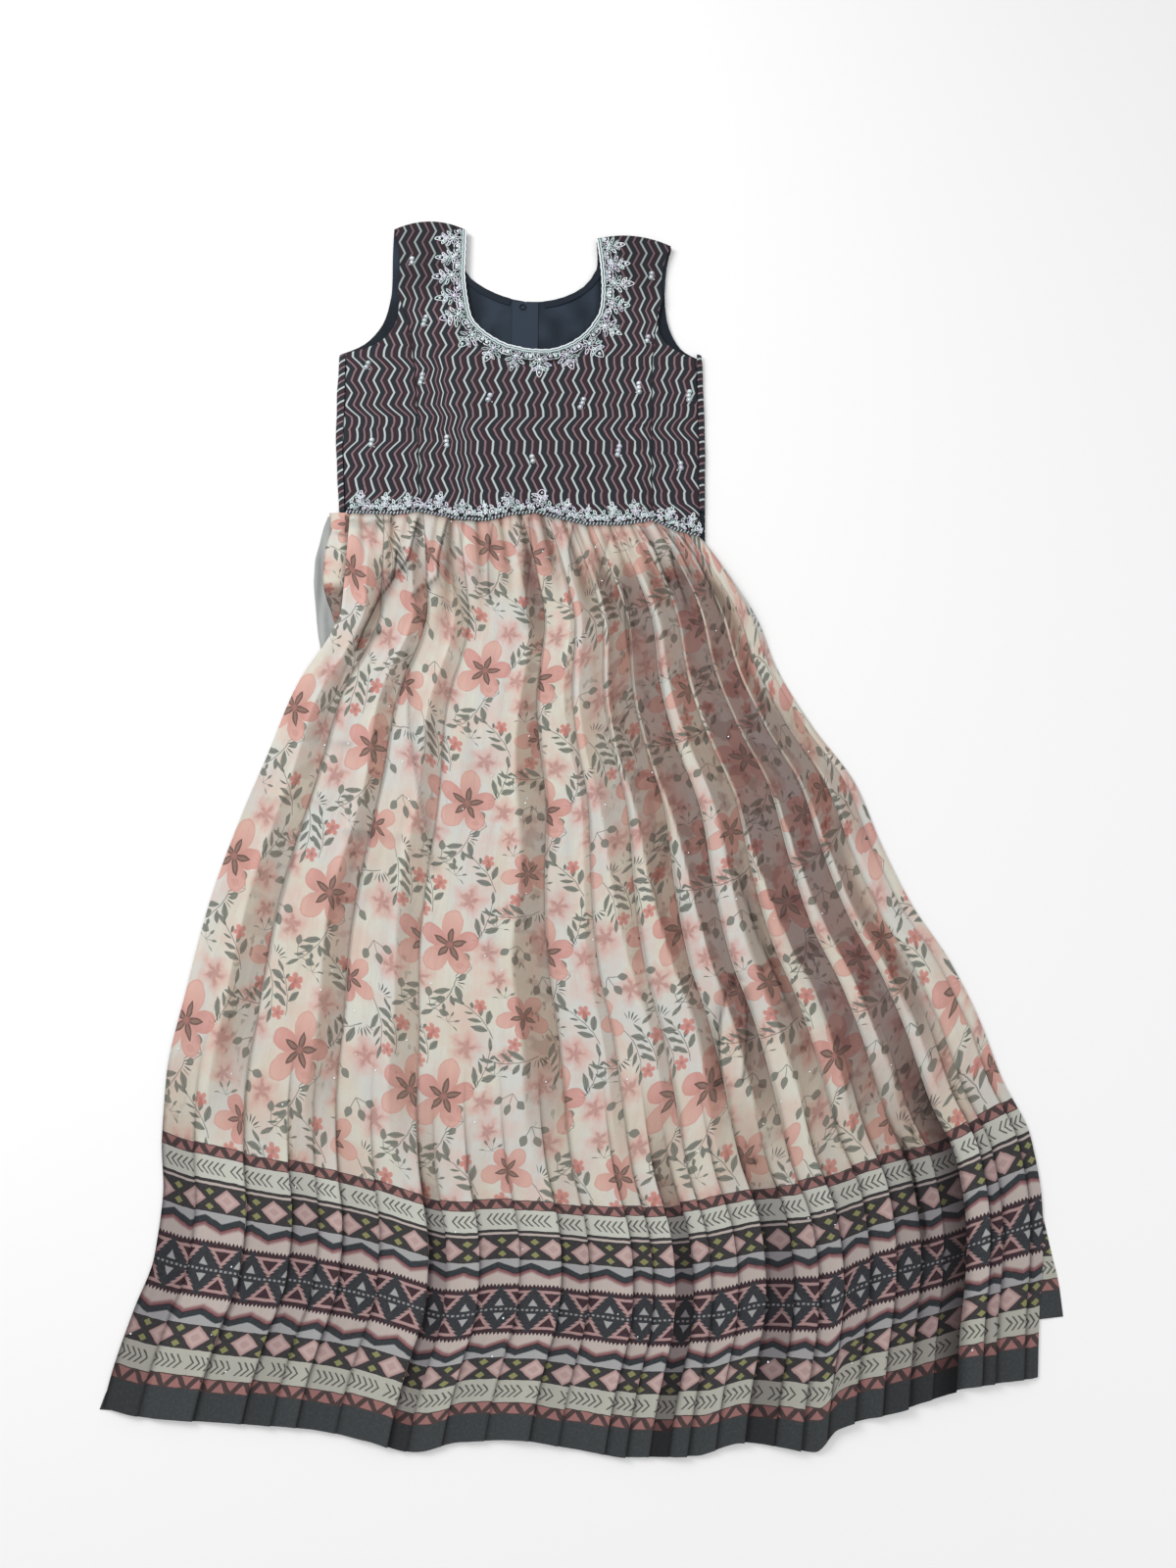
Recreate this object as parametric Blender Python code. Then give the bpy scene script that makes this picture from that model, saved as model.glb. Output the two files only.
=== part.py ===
"""Sleeveless anarkali gown laid flat on its back, front upwards.

Metres, +Z up. X runs across the gown, +Y from the hem to the shoulders. The origin is on the
surface that the gown lies on, under the middle of its footprint. The tables below are in
millimetres, measured on the laid gown, and every cloth is a wall of even thickness.
"""

import math
from collections import namedtuple

import bmesh
import bpy

MM = 0.001

# Driving sizes, in millimetres
SEAM_GAP = 0.3
CLOTH = 1.5
LINING = 1.0
TRIM = 1.5
LOOP_WIRE = 0.9
FOOTPRINT_SHIFT_Y = -7.0

# Heights of the layers above the surface, from the back of the gown to its front
BACK_Z = 0.0
LINING_Z = BACK_Z + CLOTH + SEAM_GAP
FACING_Z = LINING_Z + LINING + SEAM_GAP
FRONT_Z = FACING_Z + LINING + SEAM_GAP
TRIM_Z = FRONT_Z + CLOTH + SEAM_GAP
SIDE_SEAM_Z = BACK_Z + CLOTH + SEAM_GAP

# Centre back seam and placket
CENTER_BACK_X = -71.0
PLACKET_WIDTH = 30.0
PLACKET_LENGTH = 90.0
FACING_WIDTH = 9.0

# Trims
NECK_TRIM_WIDTH = 31.0
NECK_SCALLOP = 4.0
NECK_SCALLOPS = 15
WAIST_TRIM_WIDTH = 25.0
WAIST_SCALLOP = 4.0
WAIST_SCALLOPS = 15

# Skirt
WAIST_LEFT_X = -270.0
WAIST_RIGHT_X = 130.0
GATHERS = 26
GATHER_HEIGHT = 2.4
GATHER_FADE = 0.16
HEM_FOLDS = 27
HEM_FOLD_HEIGHT = 1.6
HEM_FOLD_START = 0.72
SIDE_ROLL = 14.0

# Panel station: a line across a panel from its near edge to its far edge, with the bow of that line
Station = namedtuple("Station", "near_x near_y far_x far_y bow corner")

FRONT_CENTER = (
    Station(-142, 652, -228, 653, -12, True),
    Station(-142, 620, -221, 624, 0, False),
    Station(-142, 591, -219, 594, 0, False),
    Station(-139, 564, -220, 566, 0, True),
    Station(-133, 535, -206, 522, 0, False),
    Station(-124, 521, -197, 468, 0, False),
    Station(-112, 510, -190, 390, 0, False),
    Station(-100, 502, -184, 283, 0, True),
    Station(-90, 497, -144, 274, 0, False),
    Station(-79, 494, -111, 272, 0, False),
    Station(-68, 491, -84, 279, 0, False),
    Station(-56, 490, -56, 282, 0, False),
    Station(-43, 490, -28, 274, 0, False),
    Station(-31, 493, 0, 267, 0, False),
    Station(-18, 499, 41, 267, 0, False),
    Station(-6, 508, 73, 272, 0, True),
    Station(3, 518, 74, 390, 0, False),
    Station(9, 528, 76, 470, 0, False),
    Station(14, 537, 81, 522, 0, False),
    Station(17, 550, 89, 556, 0, True),
    Station(18, 575, 88, 582, 0, False),
    Station(16, 608, 92, 606, 0, False),
    Station(12, 640, 100, 630, 9, True),
)

FRONT_LEFT = (
    Station(-284, 484, -220, 566, -26, True),
    Station(-283, 462, -206, 522, -14, False),
    Station(-282, 425, -197, 468, -6, False),
    Station(-280, 365, -190, 390, 0, False),
    Station(-272, 283, -184, 283, 0, True),
)

FRONT_RIGHT = (
    Station(89, 556, 132, 476, -24, True),
    Station(81, 522, 133, 455, -14, False),
    Station(76, 470, 133, 425, -5, False),
    Station(74, 390, 133, 375, 0, False),
    Station(73, 272, 130, 251, 0, True),
)

BACK_LEFT = (
    Station(-229, 653, -143, 652, 11, True),
    Station(-229, 620, -143, 625, 0, False),
    Station(-228, 585, -141, 597, 0, False),
    Station(-229, 560, -127, 581, 0, False),
    Station(-237, 525, -106, 568, 0, False),
    Station(-257, 499, -88, 561, 0, False),
    Station(-285, 485, -71, 557, 0, True),
    Station(-284, 430, -71, 470, 0, False),
    Station(-281, 365, -71, 380, 0, False),
    Station(-273, 283, -71, 281, 0, True),
)

BACK_RIGHT = (
    Station(12, 639, 101, 630, 9, True),
    Station(13, 620, 96, 610, 0, False),
    Station(11, 599, 93, 585, 0, False),
    Station(-3, 577, 92, 555, 0, False),
    Station(-26, 563, 96, 522, 0, False),
    Station(-50, 557, 110, 492, 0, False),
    Station(-71, 557, 133, 477, 0, True),
    Station(-71, 470, 134, 425, 0, False),
    Station(-71, 380, 134, 370, 0, False),
    Station(-71, 281, 131, 251, 0, True),
)

# Waist seam, from left to right
WaistPoint = namedtuple("WaistPoint", "x y")
WAIST = (
    WaistPoint(-275, 283),
    WaistPoint(-245, 281),
    WaistPoint(-209, 280),
    WaistPoint(-184, 283),
    WaistPoint(-144, 274),
    WaistPoint(-111, 272),
    WaistPoint(-84, 279),
    WaistPoint(-56, 282),
    WaistPoint(-28, 274),
    WaistPoint(0, 267),
    WaistPoint(41, 267),
    WaistPoint(73, 272),
    WaistPoint(96, 261),
    WaistPoint(131, 251),
)

# Side edges of the skirt
EdgePoint = namedtuple("EdgePoint", "y x")
SKIRT_LEFT_EDGE = (
    EdgePoint(-612, -440),
    EdgePoint(-580, -434),
    EdgePoint(-530, -420),
    EdgePoint(-482, -405),
    EdgePoint(-430, -402),
    EdgePoint(-376, -408),
    EdgePoint(-321, -409),
    EdgePoint(-236, -397),
    EdgePoint(-148, -381),
    EdgePoint(-56, -355),
    EdgePoint(8, -333),
    EdgePoint(73, -312),
    EdgePoint(106, -298),
    EdgePoint(135, -283),
    EdgePoint(196, -281),
    EdgePoint(243, -281),
    EdgePoint(283, -272),
)
SKIRT_RIGHT_EDGE = (
    EdgePoint(-586, 414),
    EdgePoint(-530, 421),
    EdgePoint(-482, 429),
    EdgePoint(-430, 433),
    EdgePoint(-376, 428),
    EdgePoint(-321, 405),
    EdgePoint(-265, 388),
    EdgePoint(-207, 363),
    EdgePoint(-148, 328),
    EdgePoint(-87, 302),
    EdgePoint(-25, 280),
    EdgePoint(40, 237),
    EdgePoint(106, 202),
    EdgePoint(156, 186),
    EdgePoint(214, 154),
    EdgePoint(251, 130),
)
BACK_SKIRT_LEFT_EDGE = (
    EdgePoint(-613, -443),
    EdgePoint(-600, -439),
    EdgePoint(-580, -431),
    EdgePoint(-530, -417),
    EdgePoint(-482, -402),
    EdgePoint(-430, -399),
    EdgePoint(-376, -405),
    EdgePoint(-321, -406),
    EdgePoint(-236, -394),
    EdgePoint(-148, -378),
    EdgePoint(-56, -352),
    EdgePoint(8, -330),
    EdgePoint(73, -309),
    EdgePoint(106, -295),
    EdgePoint(135, -280),
    EdgePoint(196, -278),
    EdgePoint(243, -278),
    EdgePoint(283, -271),
)
BACK_SKIRT_RIGHT_EDGE = (
    EdgePoint(-535, 443),
    EdgePoint(-507, 442),
    EdgePoint(-482, 438),
    EdgePoint(-430, 431),
    EdgePoint(-376, 424),
    EdgePoint(-321, 401),
    EdgePoint(-265, 384),
    EdgePoint(-207, 359),
    EdgePoint(-148, 324),
    EdgePoint(-87, 298),
    EdgePoint(-25, 276),
    EdgePoint(40, 233),
    EdgePoint(106, 198),
    EdgePoint(156, 182),
    EdgePoint(214, 150),
    EdgePoint(251, 128),
)

# Hem line: share of the width from the left, and place along the length
HemPoint = namedtuple("HemPoint", "share y")
FRONT_HEM = (
    HemPoint(0.00, -611),
    HemPoint(0.05, -619),
    HemPoint(0.15, -624),
    HemPoint(0.22, -628),
    HemPoint(0.28, -637),
    HemPoint(0.335, -647),
    HemPoint(0.38, -639),
    HemPoint(0.44, -637),
    HemPoint(0.50, -644),
    HemPoint(0.56, -651),
    HemPoint(0.63, -650),
    HemPoint(0.68, -639),
    HemPoint(0.735, -646),
    HemPoint(0.775, -625),
    HemPoint(0.85, -609),
    HemPoint(0.92, -595),
    HemPoint(1.00, -586),
)
BACK_HEM = (
    HemPoint(0.00, -613),
    HemPoint(0.20, -621),
    HemPoint(0.45, -630),
    HemPoint(0.70, -612),
    HemPoint(0.88, -560),
    HemPoint(0.96, -539),
    HemPoint(1.00, -535),
)
SIDE_LIFT_LEFT = 30.0
SIDE_LIFT_RIGHT = 48.0

# Pressed pleats of the skirt's right side: place of the crest and the trough after it, as shares of
# the width, the height of the crest, and where along the skirt the pleat starts
Pleat = namedtuple("Pleat", "start crest height begin")
PLEATS = (
    Pleat(0.470, 0.490, 1.8, 0.20),
    Pleat(0.535, 0.557, 2.2, 0.12),
    Pleat(0.602, 0.622, 2.6, 0.08),
    Pleat(0.664, 0.683, 3.0, 0.04),
    Pleat(0.724, 0.742, 3.2, 0.02),
    Pleat(0.782, 0.800, 3.4, 0.01),
    Pleat(0.841, 0.858, 3.2, 0.01),
    Pleat(0.896, 0.910, 3.0, 0.01),
    Pleat(0.940, 0.952, 2.6, 0.02),
    Pleat(0.974, 0.984, 1.8, 0.10),
)
PLEAT_END = 1.0
PLEAT_STEPS = (0.0, 0.5, 1.0, 1.45, 2.1)

# Soft folds of the skirt's left side and middle
Fold = namedtuple("Fold", "share half_width height begin end")
SOFT_FOLDS = (
    Fold(0.065, 0.030, 3.0, 0.10, 1.20),
    Fold(0.150, 0.038, 2.6, 0.16, 0.95),
    Fold(0.225, 0.026, 3.4, 0.03, 0.80),
    Fold(0.300, 0.034, 2.4, 0.22, 1.20),
    Fold(0.365, 0.022, 3.2, 0.05, 0.70),
    Fold(0.430, 0.030, 2.8, 0.12, 1.20),
    Fold(0.640, 0.040, 3.0, 0.55, 0.92),
)
SOFT_COLUMNS = 56
SKIRT_ROWS = (0.0, 0.015, 0.04, 0.075, 0.12, 0.18, 0.26, 0.36, 0.47, 0.58, 0.68, 0.77, 0.86, 0.94, 1.0)
BACK_SKIRT_COLUMNS = 34
BACK_SKIRT_ROWS = 16

# Pale lining that bulges out below the waist at the left
LiningPoint = namedtuple("LiningPoint", "y outer inner")
SKIRT_LINING = (
    LiningPoint(276, -272, -252),
    LiningPoint(243, -289, -250),
    LiningPoint(214, -297, -249),
    LiningPoint(182, -299, -250),
    LiningPoint(151, -295, -252),
    LiningPoint(126, -290, -257),
    LiningPoint(104, -292, -268),
)

# Colours, linear, with roughness
Finish = namedtuple("Finish", "colour roughness")
FINISHES = {
    "bodice_print": Finish((0.060, 0.042, 0.050), 0.75),
    "lining_dark": Finish((0.018, 0.018, 0.020), 0.70),
    "skirt_print": Finish((0.640, 0.560, 0.470), 0.70),
    "lining_pale": Finish((0.560, 0.560, 0.530), 0.70),
    "embroidery": Finish((0.480, 0.500, 0.530), 0.35),
    "thread": Finish((0.010, 0.010, 0.010), 0.60),
}
METALLIC_FINISH = "embroidery"
EMBROIDERY_METALLIC = 0.6


def clear_scene():
    for item in list(bpy.data.objects):
        bpy.data.objects.remove(item, do_unlink=True)


def clamp(value, low=0.0, high=1.0):
    return max(low, min(high, value))


def smooth(value):
    value = clamp(value)
    return value * value * (3.0 - 2.0 * value)


def curve_value(xs, ys, x):
    """Reads a smooth curve through (xs, ys), with slopes that never overshoot."""
    if x <= xs[0]:
        return ys[0]
    if x >= xs[-1]:
        return ys[-1]
    index = 0
    while x > xs[index + 1]:
        index += 1

    def slope(at):
        if at <= 0 or at >= len(xs) - 1:
            return None
        before = (ys[at] - ys[at - 1]) / (xs[at] - xs[at - 1])
        after = (ys[at + 1] - ys[at]) / (xs[at + 1] - xs[at])
        if before * after <= 0.0:
            return 0.0
        return 2.0 * before * after / (before + after)

    width = xs[index + 1] - xs[index]
    chord = (ys[index + 1] - ys[index]) / width
    slope_in = slope(index)
    slope_out = slope(index + 1)
    slope_in = chord if slope_in is None else slope_in
    slope_out = chord if slope_out is None else slope_out
    t = (x - xs[index]) / width
    square = t * t
    cube = square * t
    return (
        ys[index] * (2 * cube - 3 * square + 1)
        + ys[index + 1] * (3 * square - 2 * cube)
        + width * (slope_in * (cube - 2 * square + t) + slope_out * (cube - square))
    )


def waist_y(x):
    """The waist seam runs straight from one waist point to the next."""
    index = 0
    while index < len(WAIST) - 2 and x > WAIST[index + 1].x:
        index += 1
    here = WAIST[index]
    after = WAIST[index + 1]
    return here.y + (after.y - here.y) * (x - here.x) / (after.x - here.x)


def waist_shares(near_x, far_x, split=1):
    """Shares of the way from near_x to far_x at each waist point between them, each stretch split."""
    inside = [p.x for p in WAIST if near_x + 4.0 < p.x < far_x - 4.0]
    places = [near_x] + inside + [far_x]
    shares = []
    for index in range(len(places) - 1):
        for step in range(split):
            x = places[index] + (places[index + 1] - places[index]) * step / split
            shares.append((x - near_x) / (far_x - near_x))
    shares.append(1.0)
    return shares


def edge_x(table, y):
    return curve_value([p.y for p in table], [p.x for p in table], y)


def hem_y(table, share):
    return curve_value([p.share for p in table], [p.y for p in table], share)


def refine(stations, steps):
    """Adds steps between the stations on a smooth curve that keeps each corner sharp."""
    fine = []
    for index in range(len(stations) - 1):
        here = stations[index]
        after = stations[index + 1]
        before = here if here.corner else stations[index - 1]
        beyond = after if after.corner else stations[index + 2]
        for step in range(steps):
            t = step / steps
            values = []
            for field in range(5):
                p0 = before[field]
                p1 = here[field]
                p2 = after[field]
                p3 = beyond[field]
                values.append(
                    0.5 * (2 * p1 + (p2 - p0) * t
                           + (2 * p0 - 5 * p1 + 4 * p2 - p3) * t * t
                           + (3 * p1 - p0 - 3 * p2 + p3) * t * t * t)
                )
            fine.append(Station(*values, False))
    fine.append(stations[-1])
    return fine


def station_point(station, share):
    """The point at a share of the way from a station's near edge to its far edge."""
    along_x = station.far_x - station.near_x
    along_y = station.far_y - station.near_y
    length = math.hypot(along_x, along_y)
    bulge = 4.0 * share * (1.0 - share) * station.bow
    x = station.near_x + along_x * share - along_y / length * bulge
    y = station.near_y + along_y * share + along_x / length * bulge
    return x, y


def station_length(station):
    return math.hypot(station.far_x - station.near_x, station.far_y - station.near_y)


def wall(name, finish, lower, upper):
    """A closed wall between two grids of points, each a list of rows in millimetres."""
    rows = len(lower)
    columns = len(lower[0])
    mesh = bpy.data.meshes.new(name)
    shape = bmesh.new()
    skins = []
    for grid in (lower, upper):
        skins.append([[shape.verts.new((x * MM, (y + FOOTPRINT_SHIFT_Y) * MM, z * MM)) for x, y, z in row]
                      for row in grid])
    bottom, top = skins
    for r in range(rows - 1):
        for c in range(columns - 1):
            shape.faces.new((top[r][c], top[r][c + 1], top[r + 1][c + 1]))
            shape.faces.new((top[r][c], top[r + 1][c + 1], top[r + 1][c]))
            shape.faces.new((bottom[r][c], bottom[r + 1][c + 1], bottom[r][c + 1]))
            shape.faces.new((bottom[r][c], bottom[r + 1][c], bottom[r + 1][c + 1]))
    rim = [(0, c) for c in range(columns)]
    rim += [(r, columns - 1) for r in range(1, rows)]
    rim += [(rows - 1, c) for c in range(columns - 2, -1, -1)]
    rim += [(r, 0) for r in range(rows - 2, 0, -1)]
    for index, (r, c) in enumerate(rim):
        next_r, next_c = rim[(index + 1) % len(rim)]
        shape.faces.new((top[next_r][next_c], top[r][c], bottom[r][c], bottom[next_r][next_c]))
    bmesh.ops.recalc_face_normals(shape, faces=shape.faces)
    shape.to_mesh(mesh)
    shape.free()
    item = bpy.data.objects.new(name, mesh)
    bpy.context.collection.objects.link(item)
    mesh.materials.append(material(finish))
    mesh.shade_smooth()
    mesh.set_sharp_from_angle(angle=math.radians(40.0))
    return item


def material(finish):
    found = bpy.data.materials.get(finish)
    if found:
        return found
    made = bpy.data.materials.new(finish)
    made.use_nodes = True
    shader = made.node_tree.nodes["Principled BSDF"]
    shader.inputs["Base Color"].default_value = (*FINISHES[finish].colour, 1.0)
    shader.inputs["Roughness"].default_value = FINISHES[finish].roughness
    shader.inputs["Metallic"].default_value = EMBROIDERY_METALLIC if finish == METALLIC_FINISH else 0.0
    made.diffuse_color = (*FINISHES[finish].colour, 1.0)
    return made


def bodice_relief(x, y):
    """Height that the front bodice stands above its flat level, with its soft creases."""
    side_room = min(x - WAIST_LEFT_X - 8.0, WAIST_RIGHT_X - 2.0 - x)
    clear = smooth(side_room / 30.0) * smooth((y - 345.0) / 30.0) * smooth((425.0 - y) / 30.0)
    bust = 1.2
    creases = 0.7 * math.cos((x + 190.0) / 17.0) + 0.5 * math.cos((x - 70.0) / 11.0 + y / 90.0)
    return clear * (bust + creases)


def front_level(x, y):
    """Underside of the front bodice: it comes down to the back panel along the side seams."""
    left_side = -284.0 + 12.0 * smooth((400.0 - y) / 130.0)
    right_side = 133.0 - 3.0 * smooth((350.0 - y) / 90.0)
    room = min(x - left_side, right_side - x)
    below_armhole = smooth((500.0 - y) / 12.0)
    drop = (1.0 - smooth(room / SIDE_ROLL)) * below_armhole
    return FRONT_Z + bodice_relief(x, y) - (FRONT_Z - SIDE_SEAM_Z) * drop


def panel_grids(stations, shares, level, thickness, inset_near=0.0, inset_far=0.0, inset_waist=0.0):
    """Lower and upper grids of a panel, held back from its seams by half the seam gap."""
    lower = []
    upper = []
    for station in stations:
        length = station_length(station)
        first = inset_near / length
        last = 1.0 - inset_far / length
        low_row = []
        high_row = []
        for share in shares:
            x, y = station_point(station, first + (last - first) * share)
            if y < waist_y(x) + inset_waist:
                y = waist_y(x) + inset_waist
            z = level(x, y)
            low_row.append((x, y, z))
            high_row.append((x, y, z + thickness))
        lower.append(low_row)
        upper.append(high_row)
    return lower, upper


def even_shares(count):
    return [index / count for index in range(count + 1)]


def hold_waist(stations):
    """Puts the stations that end at the waist on the waist seam's own curve."""
    held = []
    for station in stations:
        near_y = station.near_y
        far_y = station.far_y
        if near_y < waist_y(station.near_x) + 4.0:
            near_y = waist_y(station.near_x)
        if far_y < waist_y(station.far_x) + 4.0:
            far_y = waist_y(station.far_x)
        held.append(station._replace(near_y=near_y, far_y=far_y))
    return held


def build_bodice_front():
    half = SEAM_GAP / 2.0
    center = hold_waist(refine(FRONT_CENTER, 2))
    lower, upper = panel_grids(center, even_shares(8), front_level, CLOTH, 0.0, half, half)
    wall("bodice_front_center", "bodice_print", lower, upper)
    left = hold_waist(refine(FRONT_LEFT, 2))
    shares = waist_shares(FRONT_LEFT[-1].near_x, FRONT_LEFT[-1].far_x, 2)
    lower, upper = panel_grids(left, shares, front_level, CLOTH, 0.0, half, half)
    wall("bodice_front_left", "bodice_print", lower, upper)
    right = hold_waist(refine(FRONT_RIGHT, 2))
    shares = waist_shares(FRONT_RIGHT[-1].near_x, FRONT_RIGHT[-1].far_x, 3)
    lower, upper = panel_grids(right, shares, front_level, CLOTH, half, 0.0, half)
    wall("bodice_front_right", "bodice_print", lower, upper)
    return center


def build_neck_trim(center):
    """Embroidered band round the neckline, on the front panel's own points, with a scalloped edge."""
    lower = []
    upper = []
    total = len(center) - 1
    for index, station in enumerate(center):
        around = index / total
        scallop = abs(math.sin(math.pi * NECK_SCALLOPS * around))
        reach = (NECK_TRIM_WIDTH + NECK_SCALLOP * scallop) / station_length(station)
        low_row = []
        high_row = []
        for share in even_shares(3):
            x, y = station_point(station, 0.01 + reach * share)
            low_row.append((x, y, TRIM_Z))
            high_row.append((x, y, TRIM_Z + TRIM))
        lower.append(low_row)
        upper.append(high_row)
    wall("neck_trim", "embroidery", lower, upper)


def build_waist_trim():
    """Embroidered band just above the waist seam, with a scalloped upper edge."""
    columns = WAIST_SCALLOPS * 4
    lower = []
    upper = []
    for share in even_shares(3):
        low_row = []
        high_row = []
        for column in range(columns + 1):
            across = column / columns
            x = WAIST_LEFT_X + 12.0 + (WAIST_RIGHT_X - WAIST_LEFT_X - 24.0) * across
            scallop = abs(math.sin(math.pi * WAIST_SCALLOPS * across))
            height = WAIST_TRIM_WIDTH + WAIST_SCALLOP * scallop
            y = waist_y(x) + 1.0 + height * share
            low_row.append((x, y, TRIM_Z))
            high_row.append((x, y, TRIM_Z + TRIM))
        lower.append(low_row)
        upper.append(high_row)
    wall("waist_trim", "embroidery", lower, upper)


def flat_level(z):
    return lambda x, y: z


def build_bodice_back():
    half = SEAM_GAP / 2.0
    left = hold_waist(refine(BACK_LEFT, 2))
    right = hold_waist(refine(BACK_RIGHT, 2))
    left_shares = waist_shares(BACK_LEFT[-1].near_x, BACK_LEFT[-1].far_x)
    right_shares = waist_shares(BACK_RIGHT[-1].near_x, BACK_RIGHT[-1].far_x)
    lower, upper = panel_grids(left, left_shares, flat_level(BACK_Z), CLOTH, 0.0, half, half)
    wall("bodice_back_left", "bodice_print", lower, upper)
    lower, upper = panel_grids(right, right_shares, flat_level(BACK_Z), CLOTH, half, 0.0, half)
    wall("bodice_back_right", "bodice_print", lower, upper)
    lower, upper = panel_grids(left, even_shares(5), flat_level(LINING_Z), LINING, 18.0, half, 10.0)
    wall("lining_back_left", "lining_dark", lower, upper)
    lower, upper = panel_grids(right, even_shares(5), flat_level(LINING_Z), LINING, half, 18.0, 10.0)
    wall("lining_back_right", "lining_dark", lower, upper)


def neck_stations(table, count):
    """The stations of a back half whose ends run along the back neckline, strap to centre."""
    return refine(table, 2)[2 * 2:2 * count + 1]


def build_back_facing():
    """Narrow facing along the back neckline, split by the placket at the centre back."""
    placket_left = CENTER_BACK_X - PLACKET_WIDTH / 2.0 - SEAM_GAP
    placket_right = CENTER_BACK_X + PLACKET_WIDTH / 2.0 + SEAM_GAP
    for name, table, limit in (
        ("facing_back_left", BACK_LEFT, placket_left),
        ("facing_back_right", BACK_RIGHT, placket_right),
    ):
        lower = []
        upper = []
        for station in neck_stations(table, 6):
            near_is_neck = table is BACK_RIGHT
            neck_x = station.near_x if near_is_neck else station.far_x
            neck_y = station.near_y if near_is_neck else station.far_y
            past = neck_x < limit if near_is_neck else neck_x > limit
            if past:
                continue
            low_row = []
            high_row = []
            for share in even_shares(2):
                sink = FACING_WIDTH * share
                side = 1.0 if near_is_neck else -1.0
                lean = 1.0 - clamp(abs(neck_x - CENTER_BACK_X) / 85.0)
                angle = math.radians(90.0 * smooth(lean))
                x = neck_x + side * sink * math.cos(angle)
                y = neck_y - sink * math.sin(angle) - 1.0
                low_row.append((x, y, FACING_Z))
                high_row.append((x, y, FACING_Z + LINING))
            lower.append(low_row)
            upper.append(high_row)
        wall(name, "lining_dark", lower, upper)


def build_placket():
    """Stitched strip under the centre back opening, from the neckline down."""
    top_y = BACK_LEFT[6].far_y - 1.5
    lower = []
    upper = []
    for row in even_shares(6):
        y = top_y - PLACKET_LENGTH * row
        xs = [CENTER_BACK_X + PLACKET_WIDTH * (share - 0.5) for share in even_shares(3)]
        lower.append([(x, y, FACING_Z) for x in xs])
        upper.append([(x, y, FACING_Z + LINING) for x in xs])
    wall("placket", "lining_dark", lower, upper)


def build_neck_loop():
    """Thread loop at the top of the placket, a flat ring of cord on the cloth."""
    bpy.ops.mesh.primitive_torus_add(
        major_radius=3.4 * MM,
        minor_radius=LOOP_WIRE / 2.0 * MM,
        major_segments=20,
        minor_segments=8,
        location=(
            (CENTER_BACK_X - 3.0) * MM,
            (548.0 + FOOTPRINT_SHIFT_Y) * MM,
            (FRONT_Z + LOOP_WIRE / 2.0) * MM,
        ),
    )
    loop = bpy.context.object
    loop.name = "neck_loop"
    loop.data.name = "neck_loop"
    loop.data.shade_smooth()
    loop.data.materials.append(material("thread"))


class SkirtPlan:
    """Plan of a skirt panel: its side edges and hem, and the waist seam that it hangs from."""

    def __init__(self, left_edge, right_edge, hem):
        self.left_edge = left_edge
        self.right_edge = right_edge
        self.hem = hem
        self.left_top = left_edge[-1].x
        self.right_top = right_edge[-1].x

    def side_x(self, edge, top_x, hem_end, lift, down):
        top = waist_y(top_x) - SEAM_GAP / 2.0
        y = top + (hem_end - top) * down + lift * lift_profile(down)
        return top_x if down == 0.0 else edge_x(edge, y)

    def point(self, share, down):
        """Place of a point at a share of the width and a share of the way down."""
        left = self.side_x(self.left_edge, self.left_top, self.hem[0].y, SIDE_LIFT_LEFT, down)
        right = self.side_x(self.right_edge, self.right_top, self.hem[-1].y, SIDE_LIFT_RIGHT, down)
        waist_x = self.left_top + (self.right_top - self.left_top) * share
        top = waist_y(waist_x) - SEAM_GAP / 2.0
        sideways = 2.0 * share - 1.0
        lift = SIDE_LIFT_LEFT if sideways < 0.0 else SIDE_LIFT_RIGHT
        y = top + (hem_y(self.hem, share) - top) * down
        return left + (right - left) * share, y + lift * sideways * sideways * lift_profile(down)

    def fit_columns(self, columns):
        """Moves the nearest column onto each waist point, so that the seam runs straight between them."""
        fitted = list(columns)
        for point in WAIST:
            share = (point.x - self.left_top) / (self.right_top - self.left_top)
            if 0.01 < share < 0.99:
                nearest = min(range(1, len(fitted) - 1), key=lambda index: abs(fitted[index] - share))
                fitted[nearest] = share
        return fitted


def lift_profile(down):
    """How far the sides of the skirt are drawn up, most at two thirds of the way down."""
    return 6.75 * down * down * (1.0 - down)


def skirt_columns():
    columns = [PLEATS[0].start * index / SOFT_COLUMNS for index in range(SOFT_COLUMNS)]
    for index, pleat in enumerate(PLEATS):
        stop = PLEATS[index + 1].start if index + 1 < len(PLEATS) else PLEAT_END
        rise = pleat.crest - pleat.start
        for step in PLEAT_STEPS:
            place = pleat.start + rise * step
            if place < stop - rise * 0.2:
                columns.append(place)
    columns.append(PLEAT_END)
    return columns


def skirt_wall(name, plan, columns, rows, level):
    lower = []
    upper = []
    for down in rows:
        low_row = []
        high_row = []
        for share in columns:
            x, y = plan.point(share, down)
            z = level(share, down)
            low_row.append((x, y, z))
            high_row.append((x, y, z + CLOTH))
        lower.append(low_row)
        upper.append(high_row)
    wall(name, "skirt_print", lower, upper)


def pleat_relief(share, down):
    """Pressed pleats: a steep side up to the crest, and a long slope down to the next pleat."""
    if share < PLEATS[0].start:
        return 0.0
    index = max(i for i, pleat in enumerate(PLEATS) if share >= pleat.start)
    pleat = PLEATS[index]
    stop = PLEATS[index + 1].start if index + 1 < len(PLEATS) else PLEAT_END
    if share <= pleat.crest:
        form = smooth((share - pleat.start) / (pleat.crest - pleat.start))
    else:
        form = (stop - share) / (stop - pleat.crest)
        form = form * form * (0.35 + 0.65 * form)
    reach = smooth((down - pleat.begin) / 0.08) * (1.0 - 0.45 * smooth((down - 0.70) / 0.25))
    return pleat.height * form * reach


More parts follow.
